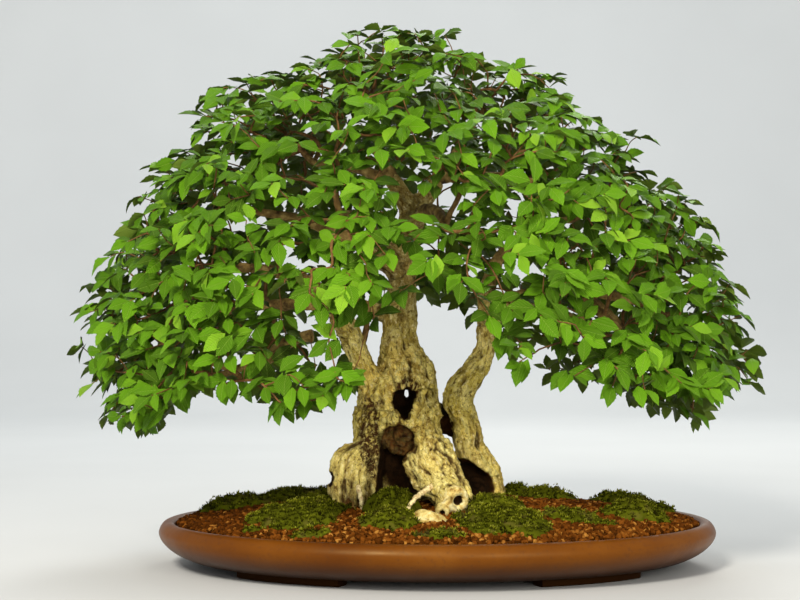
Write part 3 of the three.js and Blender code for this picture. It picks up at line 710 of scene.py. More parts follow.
# Start, end and radius of each sawn end, and how pale its wood is
SAWN_ENDS = [((8, -66, 80), (19, -90, 73.5), 12.5, 1.0), ((6, -70, 70), (3, -98, 62.5), 7.5, 0.5)]
LIMBS = [
    [(-56, -4, 168, 16), (-67, -8, 186, 12.5), (-76, -13, 206, 11), (-86, -17, 230, 11.2),
     (-98, -21, 252, 10.5), (-108, -25, 268, 9), (-135, -40, 286, 7), (-180, -58, 296, 5),
     (-215, -70, 292, 3.5)],
    [(-92, -18, 232, 7), (-125, -8, 230, 6), (-150, 2, 223, 5.2), (-175, 10, 206, 4.5), (-215, 18, 190, 3.5)],
    [(-76, -12, 214, 4), (-73, -10, 226, 3.2), (-70.5, -8, 238, 2.8), (-67, -4, 262, 2.4), (-60, 2, 285, 2)],
    [(-100, -22, 252, 6), (-140, -20, 262, 5), (-180, -5, 258, 4), (-225, 5, 252, 3)],
    [(-147, 0, 222, 4.6), (-165, -32, 206, 4), (-190, -60, 190, 3)],
    [(-38, 6, 246, 10), (-75, 42, 258, 7.5), (-120, 78, 266, 5.5), (-165, 108, 256, 4)],
    [(-37, 3, 292, 10), (-75, -5, 318, 7.5), (-125, -12, 342, 5.5), (-175, -12, 352, 4)],
    [(-34, 0, 312, 9), (-55, -48, 335, 6.5), (-85, -95, 345, 5), (-98, -125, 340, 3.6)],
    [(-27, 2, 338, 9), (-12, -45, 352, 6.5), (0, -90, 348, 5), (5, -125, 335, 3.6)],
    [(-27, 8, 332, 9), (-28, 55, 350, 6.5), (-30, 100, 345, 5), (-30, 130, 330, 3.6)],
    [(-82, 48, 260, 5), (-84, 90, 264, 4), (-82, 138, 256, 3)],
    [(-24, 8, 352, 10.5), (-46, 2, 388, 8), (-60, -2, 420, 5.5), (-62, -2, 440, 4)],
    [(-23, 8, 352, 10.5), (0, 12, 385, 8), (22, 12, 415, 5.5), (35, 10, 435, 4)],
    [(-44, 2, 384, 6), (-90, 15, 400, 4.5), (-125, 30, 405, 3.2)],
    [(2, 12, 388, 6), (55, 25, 390, 5), (100, 35, 385, 3.6)],
    [(50, 8, 240, 9.5), (70, 4, 262, 8), (98, 0, 272, 6.8), (145, -8, 274, 5.6), (195, -14, 264, 4.4),
     (225, -18, 250, 3.4)],
    [(50, 8, 243, 9.5), (50, 14, 275, 7.5), (64, 20, 308, 6.2), (98, 26, 336, 5), (140, 30, 348, 3.8)],
    [(78, 2, 266, 6.8), (98, -42, 264, 5.4), (120, -85, 252, 4.2), (135, -115, 240, 3.2)],
    [(62, 8, 258, 7), (85, 52, 264, 5.5), (115, 95, 262, 4.2), (132, 120, 254, 3.2)],
    [(142, -8, 272, 5.2), (172, -40, 240, 4.2), (195, -62, 215, 3.2)],
    [(145, -6, 272, 5.2), (180, 30, 246, 4.2), (200, 58, 220, 3.2)],
]
# The hole's way through to the back, and a notch in the left foot
HOLLOWS = [((-30.5, 8, 170.5), (3, 62, 6.5)), ((-107, -50, 91), (6, 14, 8))]
# What is carved out from the front: an outline in X and Z, its middle, how it narrows towards the back as
# (Y, scale), how far its edge fades, and the Y between which painted shade darkens it. First the hole shaped
# like a drop, then the cave between the legs, then the underside of the second trunk
CARVED = [
    ([(-45.5, 165), (-43.8, 173.7), (-39.8, 177.5), (-32, 179.2), (-24.3, 178.1), (-19.2, 175.4),
      (-20.2, 169.4), (-24.6, 156.1), (-28.6, 148.5), (-32.6, 146), (-37.2, 150.1), (-43.2, 157.8)],
     (-32.5, 166), [(-75, 1.08), (-30, 1.0), (-14, 0.8), (-4, 0.4)], 0.9, (-36, -20)),
    ([(-61, 58), (-60, 90), (-58, 104), (-57, 116), (-55.5, 128), (-52, 137), (-46, 141.5), (-38, 143),
      (-30, 141.5), (-24.5, 137), (-21.5, 129), (-23, 120), (-30, 113), (-33, 106), (-31, 97), (-25, 88),
      (-17, 77), (-10, 58)],
     (-42, 108), [(-95, 1.0), (-38, 1.0), (-22, 0.92), (-9, 0.6)], 1.6, (-48, -24)),
    ([(18, 107), (25, 106.5), (33, 104.5), (41, 98.5), (51, 91.5), (55, 85.5), (57, 78), (57, 60), (18, 60)],
     (38, 84), [(-18, 1.0), (0, 1.0), (10, 0.8), (16, 0.4)], 1.6, (-4, 12)),
]
OLD_WOOD = [((-38, -21, 128), (15.5, 14, 15.5))]
# Dark flecked bark: left of the cave, and in a band over the hole
SCALY = [((-67, -26, 130), (12, 30, 46)), ((-28, -38, 182), (14, 20, 6.5))]
# The shaded slit between the two trunks
SLIT = [((7, 18, 138), (11, 22, 25))]
# Where the surface root is pale
PALE_ROOT = [((-8, -118, 58), (23, 13, 13))]
WOOD_FOOT = 51.0
# Each route has its own part of the grain
ROUTE_STEP = 3
ROUTE_SHIFT = 37.0
# A limb that is thick at its start belongs to the trunk's piece down to a smaller radius
THICK_START = 8.5
THICK_END = 7.4
# The twigs' piece has all the limbs, and where they are thick it lies below the trunk's bark
SUNK_RADII = (7.4, 8.6)
SUNK_SHARE = 0.22
# A chain of twigs that is this thick counts as a limb
LIMB_RADIUS = 2.2
LIMB_SPACING = 5
TWIG_SPACING = 9
LEAST_RADIUS = 0.4
# Sides of a limb or twig that is thicker than a radius
SIDES = ((5, 14), (2.5, 9), (0, 5))
# Twigs look young below the first radius and old above the second
YOUNG_TO_OLD = (1.2, 4.5)
FIRST_VOXEL = 2.2
LAST_VOXEL = 1.55
SMOOTHING = 10


def sawn_end(start, end, radius):
    """A stub with a ringed, sunken middle in its cut face."""
    start, end = np.asarray(start, float), np.asarray(end, float)
    axis, length = unit(end - start), np.linalg.norm(end - start)
    profile = [(0.98, -4), (1, length - 6), (0.97, length - 2.5), (0.84, length), (0.62, length + 0.3),
               (0.44, length - 1.5), (0.3, length - 6)]
    _, normals, binormals = tube_frames(np.array([start, end]))
    angle = circle(28)
    out_of_round = 1 + 0.06 * np.sin(2 * angle + 0.7) + 0.035 * np.sin(5 * angle)
    ring = np.cos(angle)[:, None] * normals[0] + np.sin(angle)[:, None] * binormals[0]
    ring *= radius * out_of_round[:, None]
    centres = [start + axis * height for _, height in profile]
    rings = np.stack([centre + share * ring for centre, (share, _) in zip(centres, profile)])
    return skin(rings, centres[0], centres[-1] - axis)


def thick_part(route):
    kept = [p for p in route if p[3] >= THICK_END]
    return kept if len(kept) >= 2 else list(route[:2])


def spine_samples():
    """Point, radius, tangent, normal, binormal and length at each step along all the wood's routes."""
    rows = []
    for index, route in enumerate([*TRUNKS, *ROOTS, *LIMBS]):
        line = spline(route, ROUTE_STEP)
        steps = np.linalg.norm(np.diff(line[:, :3], axis=0), axis=1)
        length = np.concatenate([[0], np.cumsum(steps)]) + ROUTE_SHIFT * index
        rows.append(np.column_stack([line, *tube_frames(line[:, :3]), length]))
    return np.vstack(rows)


def wood_grain(points):
    """Each point's place in its strand of wood, twice across and once along, and the strand's radius."""
    samples = spine_samples()
    tree = KDTree(len(samples))
    for k, row in enumerate(samples):
        tree.insert(row[:3], k)
    tree.balance()
    rows = samples[[tree.find(point)[1] for point in points]]
    away = points - rows[:, :3]
    along, first, second = (np.einsum("ij,ij->i", away, rows[:, k : k + 3]) for k in (4, 7, 10))
    return np.column_stack([first, second, rows[:, 13] + along]), rows[:, 3]


def depth_in(zones, points, margin=0.0):
    """How deep each point lies in the nearest of some ellipsoids: 0 at a middle, 1 on a surface."""
    shares = [(points - np.array(at)) / (np.array(radii) + margin) for at, radii in zones]
    return np.min(np.linalg.norm(shares, axis=2), axis=0)


def outline_distance(outline, x, z):
    """Distance to a closed outline, negative inside it."""
    places = np.column_stack([x, z])
    least = np.full(len(places), np.inf)
    within = np.zeros(len(places), bool)
    corners = np.array(outline, float)
    for start, end in zip(corners, np.roll(corners, -1, axis=0)):
        edge = end - start
        share = np.clip((places - start) @ edge / (edge @ edge), 0, 1)
        least = np.minimum(least, np.linalg.norm(places - start - share[:, None] * edge, axis=1))
        crosses = (start[1] > z) != (end[1] > z)
        rise = edge[1] if edge[1] else 1e-9
        within ^= crosses & (x < start[0] + (z - start[1]) / rise * edge[0])
    return np.where(within, -least, least)


def carved_shares(points, rough):
    """How much each point belongs to what is carved out, and how much painted shade darkens it there."""
    x, y, z = points.T
    carved, dark = np.zeros(len(points)), np.zeros(len(points))
    for outline, _, layers, rim, (lit, shaded) in CARVED:
        front, back = layers[0][0], layers[-1][0]
        share = 1 - smoothstep(-0.5, rim, outline_distance(outline, x, z) + 0.6 * rough)
        share = share * smoothstep(front, front + 5, y) * (1 - smoothstep(2, 8, y - back))
        carved = np.maximum(carved, share)
        dark = np.maximum(dark, share * smoothstep(lit, shaded, y))
    return carved, dark


def sawn_shares(points):
    """How pale each point is from the saw, how far a ring lifts it, and whether it is in a sunken middle."""
    cut, rings = np.zeros(len(points)), np.zeros(len(points))
    sunken = np.zeros(len(points), bool)
    for start, end, radius, paleness in SAWN_ENDS:
        start, end = np.asarray(start, float), np.asarray(end, float)
        axis = unit(end - start)
        height = (points - end) @ axis
        out = np.linalg.norm((points - end) - height[:, None] * axis, axis=1)
        near = (out < radius * 1.3) & (height > -16) & (height < 4)
        cut = np.maximum(cut, paleness * near * smoothstep(-14, -3, height))
        rings = np.maximum(rings, near * (height > -3) * (0.5 + 0.5 * np.sin(out * 2.6)))
        sunken |= near & (out < radius * 0.42)
    return cut, rings, sunken


def dress_trunk(trunk):
    """Bark relief, and the numbers that its colours follow."""
    points, normals = points_of(trunk), vertex_values(trunk, "normal")
    _, y, z = points.T
    grain, radius = wood_grain(points)
    lumps = noise_at(points, 13, 3, 9.0)
    rough = noise_at(points, 5, 2, 70.0)
    plates = noise_at(grain * [1, 1, 0.6], 4.0, 2, 50.0)
    strands = np.clip(1 - 2 * np.abs(noise_at(grain * [1, 1, 0.12], 10, 1)), -0.6, 1)
    fissures = np.clip(1 - 3.2 * np.abs(noise_at(grain * [1, 1, 0.2], 4.2, 1, 30.0)), 0, 1)

    cut, rings, sunken = sawn_shares(points)
    carved, dark = carved_shares(points, rough)
    hollow = np.where(sunken, 0.4, depth_in(HOLLOWS, points, 0.5))
    old = depth_in(OLD_WOOD, points, 2)
    knob = 1 - smoothstep(0.95, 1.1, old)
    rotted = np.maximum.reduce([1 - smoothstep(0.96, 1.08, hollow), knob, carved])

    size = np.clip(radius / 22, 0.25, 1)
    move = size * (3.0 * strands + 2.2 * lumps) + 1.5 * np.sqrt(size) * (plates - fissures)
    move *= np.where(cut > 0.3, 0.25, 1.0) * (1 - 0.85 * rotted)
    move *= smoothstep(WOOD_FOOT - 2, WOOD_FOOT + 6, z)
    move += 0.35 * rings + rotted * rough * (0.8 + 2.6 * knob)
    set_points(trunk, points + normals * move[:, None])

    wet = 1 - smoothstep(60, 78, z + 14 * noise_at(points, 16, 2, 4.0))
    slit = 1 - smoothstep(0.75, 1.1, depth_in(SLIT, points) + 0.3 * rough)
    # Red-brown rot in the hollows and at the knob, and stain near the soil; in the slit and the carved places
    # it is also painted shade
    rot_and_shade = np.clip(np.maximum.reduce([rotted, 0.75 * wet, slit]), 0, 1)
    scaly = 1 - smoothstep(0.75, 1.2, depth_in(SCALY, points) + 0.4 * rough)
    # The crease round the knob's front, for painted shade
    round_knob = smoothstep(1.0, 1.12, old) * (1 - smoothstep(1.2, 1.32, old)) * (y < -14)
    # Painted shade, nearly black: in the hollows and the sawn ends' sunken middles, deeper in the carved
    # places, in the slit and in the crease round the knob; the knob itself gets a darker brown
    hole = 1 - smoothstep(0.9, 1.05, hollow)
    dark = np.maximum.reduce([dark * (1 - 0.85 * knob), hole, 0.8 * slit, 0.8 * round_knob, 0.35 * knob])
    root = 1 - smoothstep(0.8, 1.1, depth_in(PALE_ROOT, points) + 0.2 * rough)
    pale = np.maximum(np.clip(cut, 0, 1) * (hollow > 0.6), 0.85 * root)
    # Low down and on the front, where the painted highlight lies
    foot = (1 - smoothstep(95, 150, z)) * smoothstep(-10, 12, -y)
    tones = {
        "relief": np.clip(0.5 + 0.22 * (move - np.mean(move)), 0, 1),
        "rot_and_shade": rot_and_shade * (1 - 0.8 * pale) * (1 - 0.12 * knob),
        "deep": 0.92 * dark,
        "scaly": scaly * (1 - rot_and_shade),
        "cut": pale,
        "foot": 0.8 * foot * (1 - rot_and_shade),
        "upper": 0.85 * smoothstep(190, 275, z + 20 * lumps),
        "grain": grain,
    }
    for name, values in tones.items():
        set_attribute(trunk, name, values)


def add_trunk():
    parts = []
    for index, route in enumerate(TRUNKS):

        def ripple(step, angle, phase=1.3 * index):
            along = step * 0.11
            return 1 + 0.075 * (np.sin(3 * angle + along + phase) + 0.6 * np.sin(5 * angle - 1.7 * along))

        parts.append(wood_tube(route, 36, ripple))
    thick_limbs = [thick_part(route) for route in LIMBS if route[0][3] >= THICK_START]
    parts += [wood_tube(route, 20) for route in [*ROOTS, *thick_limbs]]
    trunk = add_object("trunk_piece", merged(parts), BARK)
    remesh(trunk, FIRST_VOXEL)
    cutters = [ellipsoid(at, radii, 0.22) for at, radii in HOLLOWS]
    cutters += [outline_solid(*carving[:3]) for carving in CARVED]
    for cutter in cutters:
        boolean(trunk, cutter, "DIFFERENCE")
    knobs = [ellipsoid(at, radii, 0.2) for at, radii in OLD_WOOD]
    boolean(trunk, merged([*knobs, *[sawn_end(*end[:3]) for end in SAWN_ENDS]]), "UNION")
    remesh(trunk, LAST_VOXEL)
    modify(trunk, "SMOOTH", factor=0.5, iterations=SMOOTHING)
    dress_trunk(trunk)
    finish_piece(trunk, "bark", "trunk_and_branches")


def add_rootlets():
    parts = []
    for route in ROOTLETS:
        line = spline(route, 1.5)
        parts.append(tube(line[:, :3] + 0.4 * rng.normal(size=(len(line), 3)), line[:, 3], 10))
    finish_piece(add_object("rootlets", merged(parts), ROOTLET), "bark")


# Foliage

# Seen from the front, where the foliage ends below and how its top departs from an ellipse, by pixel column
LOW_EDGE = [(40, 210), (62, 200), (75, 182), (90, 165), (102, 140), (155, 130), (185, 160), (205, 158),
            (220, 168), (235, 180), (252, 168), (268, 150), (290, 148), (330, 148), (345, 168), (374, 178),
            (384, 240), (398, 258), (440, 254), (468, 250), (482, 232), (495, 205), (510, 188), (525, 188),
            (560, 176), (600, 168), (620, 160), (640, 150), (705, 138), (735, 164), (752, 188), (768, 215),
            (800, 225)]
TOP_SHARE = [(-350, 0.7), (-332, 0.7), (-317, 0.78), (-300, 0.9), (-272, 0.87), (-257, 0.93), (-242, 0.955),
             (-227, 0.975), (-212, 1.03), (-197, 1.0), (-182, 0.965), (-152, 0.96), (-107, 0.98),
             (-85, 1.0), (-70, 1.035), (-47, 1.045), (-30, 1.01), (-10, 1.02), (28, 0.99), (43, 0.95),
             (58, 0.93), (88, 0.945), (118, 0.93), (133, 0.89), (163, 0.87), (178, 0.83), (193, 0.77),
             (208, 0.76), (223, 0.78), (253, 0.76), (268, 0.8), (283, 0.66), (298, 0.62), (313, 0.42),
             (330, 0.35)]

# Where limbs and sky show through the foliage from the front: column, height, half width, half height and
# the share of shoots that stay
WINDOWS = [
    (318, 215, 32, 34, 0.08), (354, 222, 24, 36, 0.12), (377, 212, 14, 30, 0.05), (322, 302, 28, 12, 0.3),
    (421, 368, 40, 31, 0.12), (519, 287, 22, 19, 0.12), (492, 412, 16, 12, 0.3), (240, 292, 14, 9, 0.2),
    (240, 190, 20, 14, 0.3),
]

# The crown's dome, and how its shoots are spread in its outer part, in tiers and clumps
CROWN_MIDDLE = np.array([-21.0, 0.0, 215.0])
CROWN_HALF = np.array([349.0, 255.0, 330.0])
CROWN_FLOOR = 125
CROWN_RISE = 430
CANDIDATES = 60000
SITE_DISTANCE = 17.5
SITE_REACH = 0.945
CLUMP_SIZE = 46.0
CLUMP_FLOOR = -0.04
TIER_SIZE = 75.0
TIER_FLATNESS = 2.6
TIER_DEPTH = 0.07
# Shoots grow thinner inward of a part of the dome
INNER_END = 0.66
INNER_SPREAD = 0.25
INNER_START = 0.86
# The least height over the foliage's lower edge
EDGE_GAP = 12
# Some shoots near the surface stick out
SHOOT_START = 0.88
SHOOT_SHARE = 0.16
SHOOT_REACH = 17.0
LEAF_LENGTH = 25.0
LEAF_WIDTH = 13.8
LEAF_KINDS = 9
# How many leaves a shoot has, how often, how far apart, and how far they turn sideways in degrees
LEAF_COUNTS = [3, 4, 5, 6]
COUNT_CHANCES = [0.15, 0.3, 0.33, 0.22]
LEAF_SPACING = 3.4
LEAF_TURN = (42, 78)
LEAF_SIZES = (0.68, 1.14)


def table_value(table, x):
    places, values = zip(*table)
    return np.interp(x, places, values)


def seen_from_front(points):
    """Pixel column, and height on the plane of the pot's middle, as the camera sees them."""
    x, y, z = points.T
    depth = 1 - y / CAMERA[1]
    return MIDDLE_COLUMN + (x - CAMERA[0]) / depth, CAMERA[2] + (z - CAMERA[2]) / depth


def dome_measure(points):
    """1 on the crown's outer surface, less inside it."""
    out = (points - CROWN_MIDDLE) / CROWN_HALF
    out[:, 2] = np.maximum(out[:, 2], 0) / table_value(TOP_SHARE, points[:, 0])
    return np.linalg.norm(out, axis=1)


def outward(points):
    """Away from the crown's middle, at right angles to its dome, and less so downward."""
    out = (points - CROWN_MIDDLE) / CROWN_HALF**2
    out[:, 2] = np.where(out[:, 2] < 0, 0.3 * out[:, 2], out[:, 2])
    return unit(out)


def level_outward(points):
    """Away from the crown's upright axis, on the level."""
    out = (points - CROWN_MIDDLE) / CROWN_HALF**2
    out[:, 2] = 0
    return unit(out)


def spray_middles():
    """Names of the frame's leaf sprays, and the middles of their boxes."""
    names = sorted(name for name in frame["nodes"] if name.startswith("leaf_spray"))
    boxes = [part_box(name) for name in names]
    return names, np.array([((np.array(low) + np.array(high)) / 2 - POT_MIDDLE) / MM for low, high in boxes])


def leaf_sites():
    """Where the shoots end: at the sprays' middles, and apart from each other in the crown's outer part,
    not under its edge."""
    candidates = CROWN_MIDDLE - CROWN_HALF + rng.random((CANDIDATES, 3)) * 2 * CROWN_HALF
    candidates[:, 2] = CROWN_FLOOR + rng.random(CANDIDATES) * CROWN_RISE
    inner = np.minimum(INNER_END + INNER_SPREAD * np.sqrt(rng.random(CANDIDATES)), INNER_START)
    measure = dome_measure(candidates)
    column, height = seen_from_front(candidates)
    tier = noise_at(candidates * [1, 1, TIER_FLATNESS], TIER_SIZE, 1, 41.0)
    good = (measure > inner) & (measure < SITE_REACH + TIER_DEPTH * tier)
    good &= height > table_value(LOW_EDGE, column) + EDGE_GAP
    candidates, column, height = candidates[good], column[good], height[good]
    good = noise_at(candidates * [1, 1, 1.5], CLUMP_SIZE, 2, 17.0) > CLUMP_FLOOR
    chance = rng.random(len(candidates))
    for middle, level, half_width, half_height, share in WINDOWS:
        within = ((column - middle) / half_width) ** 2 + ((height - level) / half_height) ** 2 < 1
        good &= ~(within & (chance > share))
    kept = spray_middles()[1]
    for point in candidates[good]:
        if np.min(np.sum((kept - point) ** 2, axis=1)) >= SITE_DISTANCE**2:
            kept = np.vstack([kept, point])
    far = (dome_measure(kept) > SHOOT_START) & (rng.random(len(kept)) < SHOOT_SHARE)
    reach = SHOOT_REACH * rng.uniform(0.4, 1, len(kept))
    shoots = unit(level_outward(kept) + 0.3 * outward(kept)) * reach[:, None]
    shoots[:, 2] = np.minimum(shoots[:, 2], 6)
    return kept + far[:, None] * shoots


class Growth:
    """A tree of twig points, each with its parent, that starts from the limbs."""

    STEP = 13.0
    LIMB_STEP = 9
    # A site is reached from the point that is nearest, counting a share of the way along the twigs to it
    PATH_SHARE = 0.32
    LIMB_PATH_SHARE = 0.35
    FIRST_PATH = 60

    def __init__(self):
        self.points, self.parents, self.limb_radius, self.path = [], [], [], []
        for route in LIMBS:
            line = spline(route, self.LIMB_STEP)
            start = len(line) // 4 if route[0][3] > 6 else 0
            for k, row in enumerate(line[start:]):
                parent, path = -1, self.FIRST_PATH
                if k > 0:
                    step = np.linalg.norm(row[:3] - self.points[-1])
                    parent, path = len(self.points) - 1, self.path[-1] + step * self.LIMB_PATH_SHARE
                self.add(row[:3], parent, row[3], path)

    def add(self, point, parent, limb_radius, path):
        self.points.append(np.array(point))
        self.parents.append(parent)
        self.limb_radius.append(limb_radius)
        self.path.append(path)

    def reach(self, site):
        """Grows a slightly arched twig to a site, and gives its last point."""
        distance = np.linalg.norm(np.array(self.points) - site, axis=1)
        start = int(np.argmin(distance + self.PATH_SHARE * np.array(self.path)))
        base, length = self.points[start], distance[start]
        steps = max(1, int(round(length / self.STEP)))
        sideways = rng.normal(size=3) * 0.05 * length
        parent = start
        for k in range(1, steps + 1):
            t = k / steps
            point = base + (site - base) * t + math.sin(math.pi * t) * (sideways + [0, 0, 0.05 * length])
            if k < steps:
                point = point + rng.normal(size=3) * 0.9
            self.add(point, parent, 0.0, self.path[start] + length * t)
            parent = len(self.points) - 1
        return parent

    def grown(self, sites):
        limbs = np.array(self.points)
        nearest = np.array([np.min(np.linalg.norm(limbs - site, axis=1)) for site in sites])
        ends = np.zeros(len(sites), int)
        for index in np.argsort(nearest):
            ends[index] = self.reach(sites[index])
        return ends

    def chains(self, ends):
        """Lists of point indices from a fork to a tip, and each point's radius and limb radius."""
        count = len(self.points)
        tips = np.zeros(count)
        tips[ends] += 1
        children = [[] for _ in range(count)]
        for index in range(count - 1, -1, -1):
            parent = self.parents[index]
            if parent >= 0:
                tips[parent] += tips[index]
                children[parent].append(index)
        fixed = np.array(self.limb_radius)
        radius = np.where(fixed > 0, fixed, 0.52 * np.maximum(tips, 1) ** 0.42)
        for index, parent in enumerate(self.parents):
            if parent >= 0:
                radius[index] = min(radius[index], radius[parent])
        made = []
        starts = [(index, -1) for index in range(count) if self.parents[index] < 0]
        while starts:
            index, fork = starts.pop()
            chain = [index] if fork < 0 else [fork, index]
            while children[index]:
                limb_first = sorted(children[index], key=lambda c: (fixed[c] > 0, tips[c]), reverse=True)
                starts.extend((other, index) for other in limb_first[1:])
                index = limb_first[0]
                chain.append(index)
            made.append(chain)
        return made, radius, fixed


def add_twigs(growth, ends):
    chains, radius, fixed = growth.chains(ends)
    points = np.array(growth.points)
    groups = {"limbs": [], "twigs": []}
    for chain in chains:
        line = np.column_stack([points[chain], radius[chain]])
        line[0, 3] = min(line[0, 3], line[1, 3] * 1.25)
        thick = line[:, 3].max()
        is_limb = fixed[chain[-1]] > 0 or fixed[chain[len(chain) // 2]] > 0 or thick > LIMB_RADIUS
        line = spline(line, LIMB_SPACING if is_limb else TWIG_SPACING)
        line[:, 3] = np.maximum(line[:, 3], LEAST_RADIUS)
        sides = next(sides for radius_above, sides in SIDES if thick > radius_above)
        reach = line[:, 3]
        if is_limb:
            sunk = SUNK_SHARE * smoothstep(*SUNK_RADII, reach)
            reach = reach * (1 + 0.06 * rng.normal(size=len(reach))) * (1 - sunk)

        def ripple(step, angle, phase=rng.uniform(0, 6), deep=0.07 if is_limb else 0.0):
            return 1 + deep * (np.sin(3 * angle + 0.35 * step + phase) + 0.6 * np.sin(5 * angle - 0.6 * step))

        widths = np.append(np.repeat(line[:, 3], sides), line[[0, -1], 3])
        groups["limbs" if is_limb else "twigs"].append((tube(line[:, :3], reach, sides, ripple), widths))
    for name, parts in groups.items():
        piece = add_object(name, merged([part for part, _ in parts]), TWIG)
        all_widths = np.concatenate([widths for _, widths in parts])
        set_attribute(piece, "thin", 1 - smoothstep(*YOUNG_TO_OLD, all_widths))
        finish_piece(piece, "bark")


def strip(chain, chain_v, edge, edge_v):
    """Triangles between a midrib and an edge that share their last point, each with its places along."""
    i = j = 0
    triangles = []
    while i < len(chain) - 1 or j < len(edge) - 1:
        on_edge = i == len(chain) - 1 or (j < len(edge) - 1 and edge_v[j + 1] <= chain_v[i + 1])
        third = edge[j + 1] if on_edge else chain[i + 1]
        if len({chain[i], edge[j], third}) == 3:
            triangles.append((chain[i], edge[j], third))
        i, j = (i, j + 1) if on_edge else (i + 1, j)
    return triangles


def leaf_blade(shape_rng):
    """One leaf with its base at the origin, its length along Y and its upper face up: points, triangles,
    under and uv. It is closed, with a toothed edge and a folded, drooping blade."""
    teeth, stalk, thickness, widest = 5, 0.15, 0.22, 0.36
    side_v = np.linspace(0, 1, 2 * teeth + 2)[1:-1]
    width = (side_v / widest) ** 0.62 * ((1 - side_v) / (1 - widest)) ** 1.1
    width = width * np.where(np.arange(2 * teeth) % 2 == 0, 1.0, 0.88)
    rib_v = [0.0, 0.22, 0.46, 0.7, 0.88]
    fold = shape_rng.uniform(0.14, 0.4)
    droop = shape_rng.uniform(0.06, 0.3)
    wave = shape_rng.uniform(0.2, 0.9)
    lean = shape_rng.uniform(-0.12, 0.12)
    phase = shape_rng.uniform(0, 6)
    points, uv = [(-0.4, 0, 0), (0.4, 0, 0)], [(-0.05, -0.15), (0.05, -0.15)]

    def add(x, v, lift=0.0):
        half = x * LEAF_WIDTH / 2
        along = LEAF_LENGTH * (stalk + (1 - stalk) * v) * (1 - 0.4 * droop * v)
        sway = wave * abs(x) * math.sin(9 * v + phase + (x > 0) * 2)
        height = abs(half) * fold - LEAF_LENGTH * droop * v**2 + sway
        points.append((half + LEAF_LENGTH * lean * v**2, along, height + lift))
        uv.append((x, v))
        return len(points) - 1

    tip = add(0, 1)
    right = [add(w, v) for w, v in zip(width, side_v)]
    left = [add(-w, v) for w, v in zip(width, side_v)]
    faces = []
    for is_under, lift in enumerate((thickness, -thickness)):
        rib = [add(0, v, lift) for v in rib_v]
        for edge, flips in ((right, is_under), (left, not is_under)):
            for a, b, c in strip([*rib, tip], [*rib_v, 1.0], [*edge, tip], [*side_v, 1.0]):
                faces.append(((a, c, b) if flips else (a, b, c), is_under))
        stem = [(0, 1, rib[0]), (1, right[0], rib[0]), (left[0], 0, rib[0])]
        faces += [((b, a, c) if is_under else (a, b, c), is_under) for a, b, c in stem]
    triangles, under = zip(*faces)
    return np.array(points), np.array(triangles), np.array(under), np.array(uv)


def leaf_places(growth, ends, sites):
    """Base, direction, normal and size of each leaf along the last part of its twig."""
    points = np.array(growth.points)
    starts = points[np.array(growth.parents)[ends]]
    rows = []
    for site, start, out, away in zip(sites, starts, outward(sites), level_outward(sites)):
        face = unit([0, 0, 0.66] + out * [0.5, 1.0, 0.5] + 0.24 * rng.normal(size=3))
        along = 0.4 * unit(site - start) + away * [1.15, 0.8, 0] + rng.normal(size=3) * [0.7, 0.45, 0.3]
        along = unit(along - face * np.dot(face, along))
        along = unit(along + 0.2 * out)
        face = unit(face - along * np.dot(face, along))
        across = np.cross(along, face)
        count = int(rng.choice(LEAF_COUNTS, p=COUNT_CHANCES))
        side = rng.choice([-1, 1])
        for k in range(count):
            if k == 0:
                turn = rng.normal() * 0.2
            else:
                side = -side
                turn = side * math.radians(rng.uniform(*LEAF_TURN))
            base = site - along * (LEAF_SPACING * k + rng.uniform(-0.6, 0.6))
            direction = along * math.cos(turn) + across * math.sin(turn)
            direction = direction + 0.1 * out + [0, 0, -rng.uniform(-0.12, 0.36)]
            direction = unit(direction + 0.14 * rng.normal(size=3))
            normal = face + 0.32 * rng.normal(size=3)
            normal = unit(normal - direction * np.dot(normal, direction))
            rows.append((*base, *direction, *normal, rng.uniform(*LEAF_SIZES)))
    return np.array(rows)


def add_foliage(places):
    """A piece for each spray of the frame, of the leaves that are nearest to it."""
    shape_rng = np.random.default_rng(8)
    blades = [leaf_blade(shape_rng) for _ in range(LEAF_KINDS)]
    bases, directions, normals, sizes = places[:, :3], places[:, 3:6], places[:, 6:9], places[:, 9]
    sprays, middles = spray_middles()
    owner = np.argmin(np.linalg.norm(bases[:, None] - middles[None], axis=2), axis=1)
    kind = rng.integers(0, LEAF_KINDS, len(places))
    measure = np.clip(dome_measure(bases), 0.7, 0.95)
    # Leaves deeper in the crown get a lower tone, painted shade; the rest of the tone is random, and some
    # leaves are lighter
    tone = 0.53 + 0.15 * rng.normal(size=len(places)) + 1.9 * (measure - 0.87)
    tone = np.clip(tone + 0.2 * (rng.random(len(places)) < 0.12), 0, 1)
    for index, name in enumerate(sprays):
        points, triangles, unders, uvs, tones, base = [], [], [], [], [], 0
        for blade_kind, (blade, blade_triangles, under, uv) in enumerate(blades):
            mine = np.nonzero((owner == index) & (kind == blade_kind))[0]
            number, corners = len(mine), len(blade)
            if not number:
                continue
            across = np.cross(directions[mine], normals[mine])
            axes = np.stack([across, directions[mine], normals[mine]], axis=1)
            turned = blade @ axes
            points.append((bases[mine][:, None] + turned * sizes[mine][:, None, None]).reshape(-1, 3))
            offsets = base + np.arange(number) * corners
            triangles.append((blade_triangles + offsets[:, None, None]).reshape(-1, 3))
            unders.append(np.tile(under, number))
            uvs.append(np.tile(uv, (number, 1)))
            tones.append(np.repeat(tone[mine], len(blade_triangles)))
            base += corners * number
        piece = add_object(f"foliage_{name[-2:]}", (np.vstack(points), np.vstack(triangles)), LEAF)
        set_uv(piece, np.vstack(uvs))
        set_attribute(piece, "under", np.concatenate(unders), "FACE")
        set_attribute(piece, "tone", np.concatenate(tones), "FACE")
        piece.data.set_sharp_from_angle(angle=math.radians(75))
        finish_piece(piece, "leaf", name)


# Soil and moss

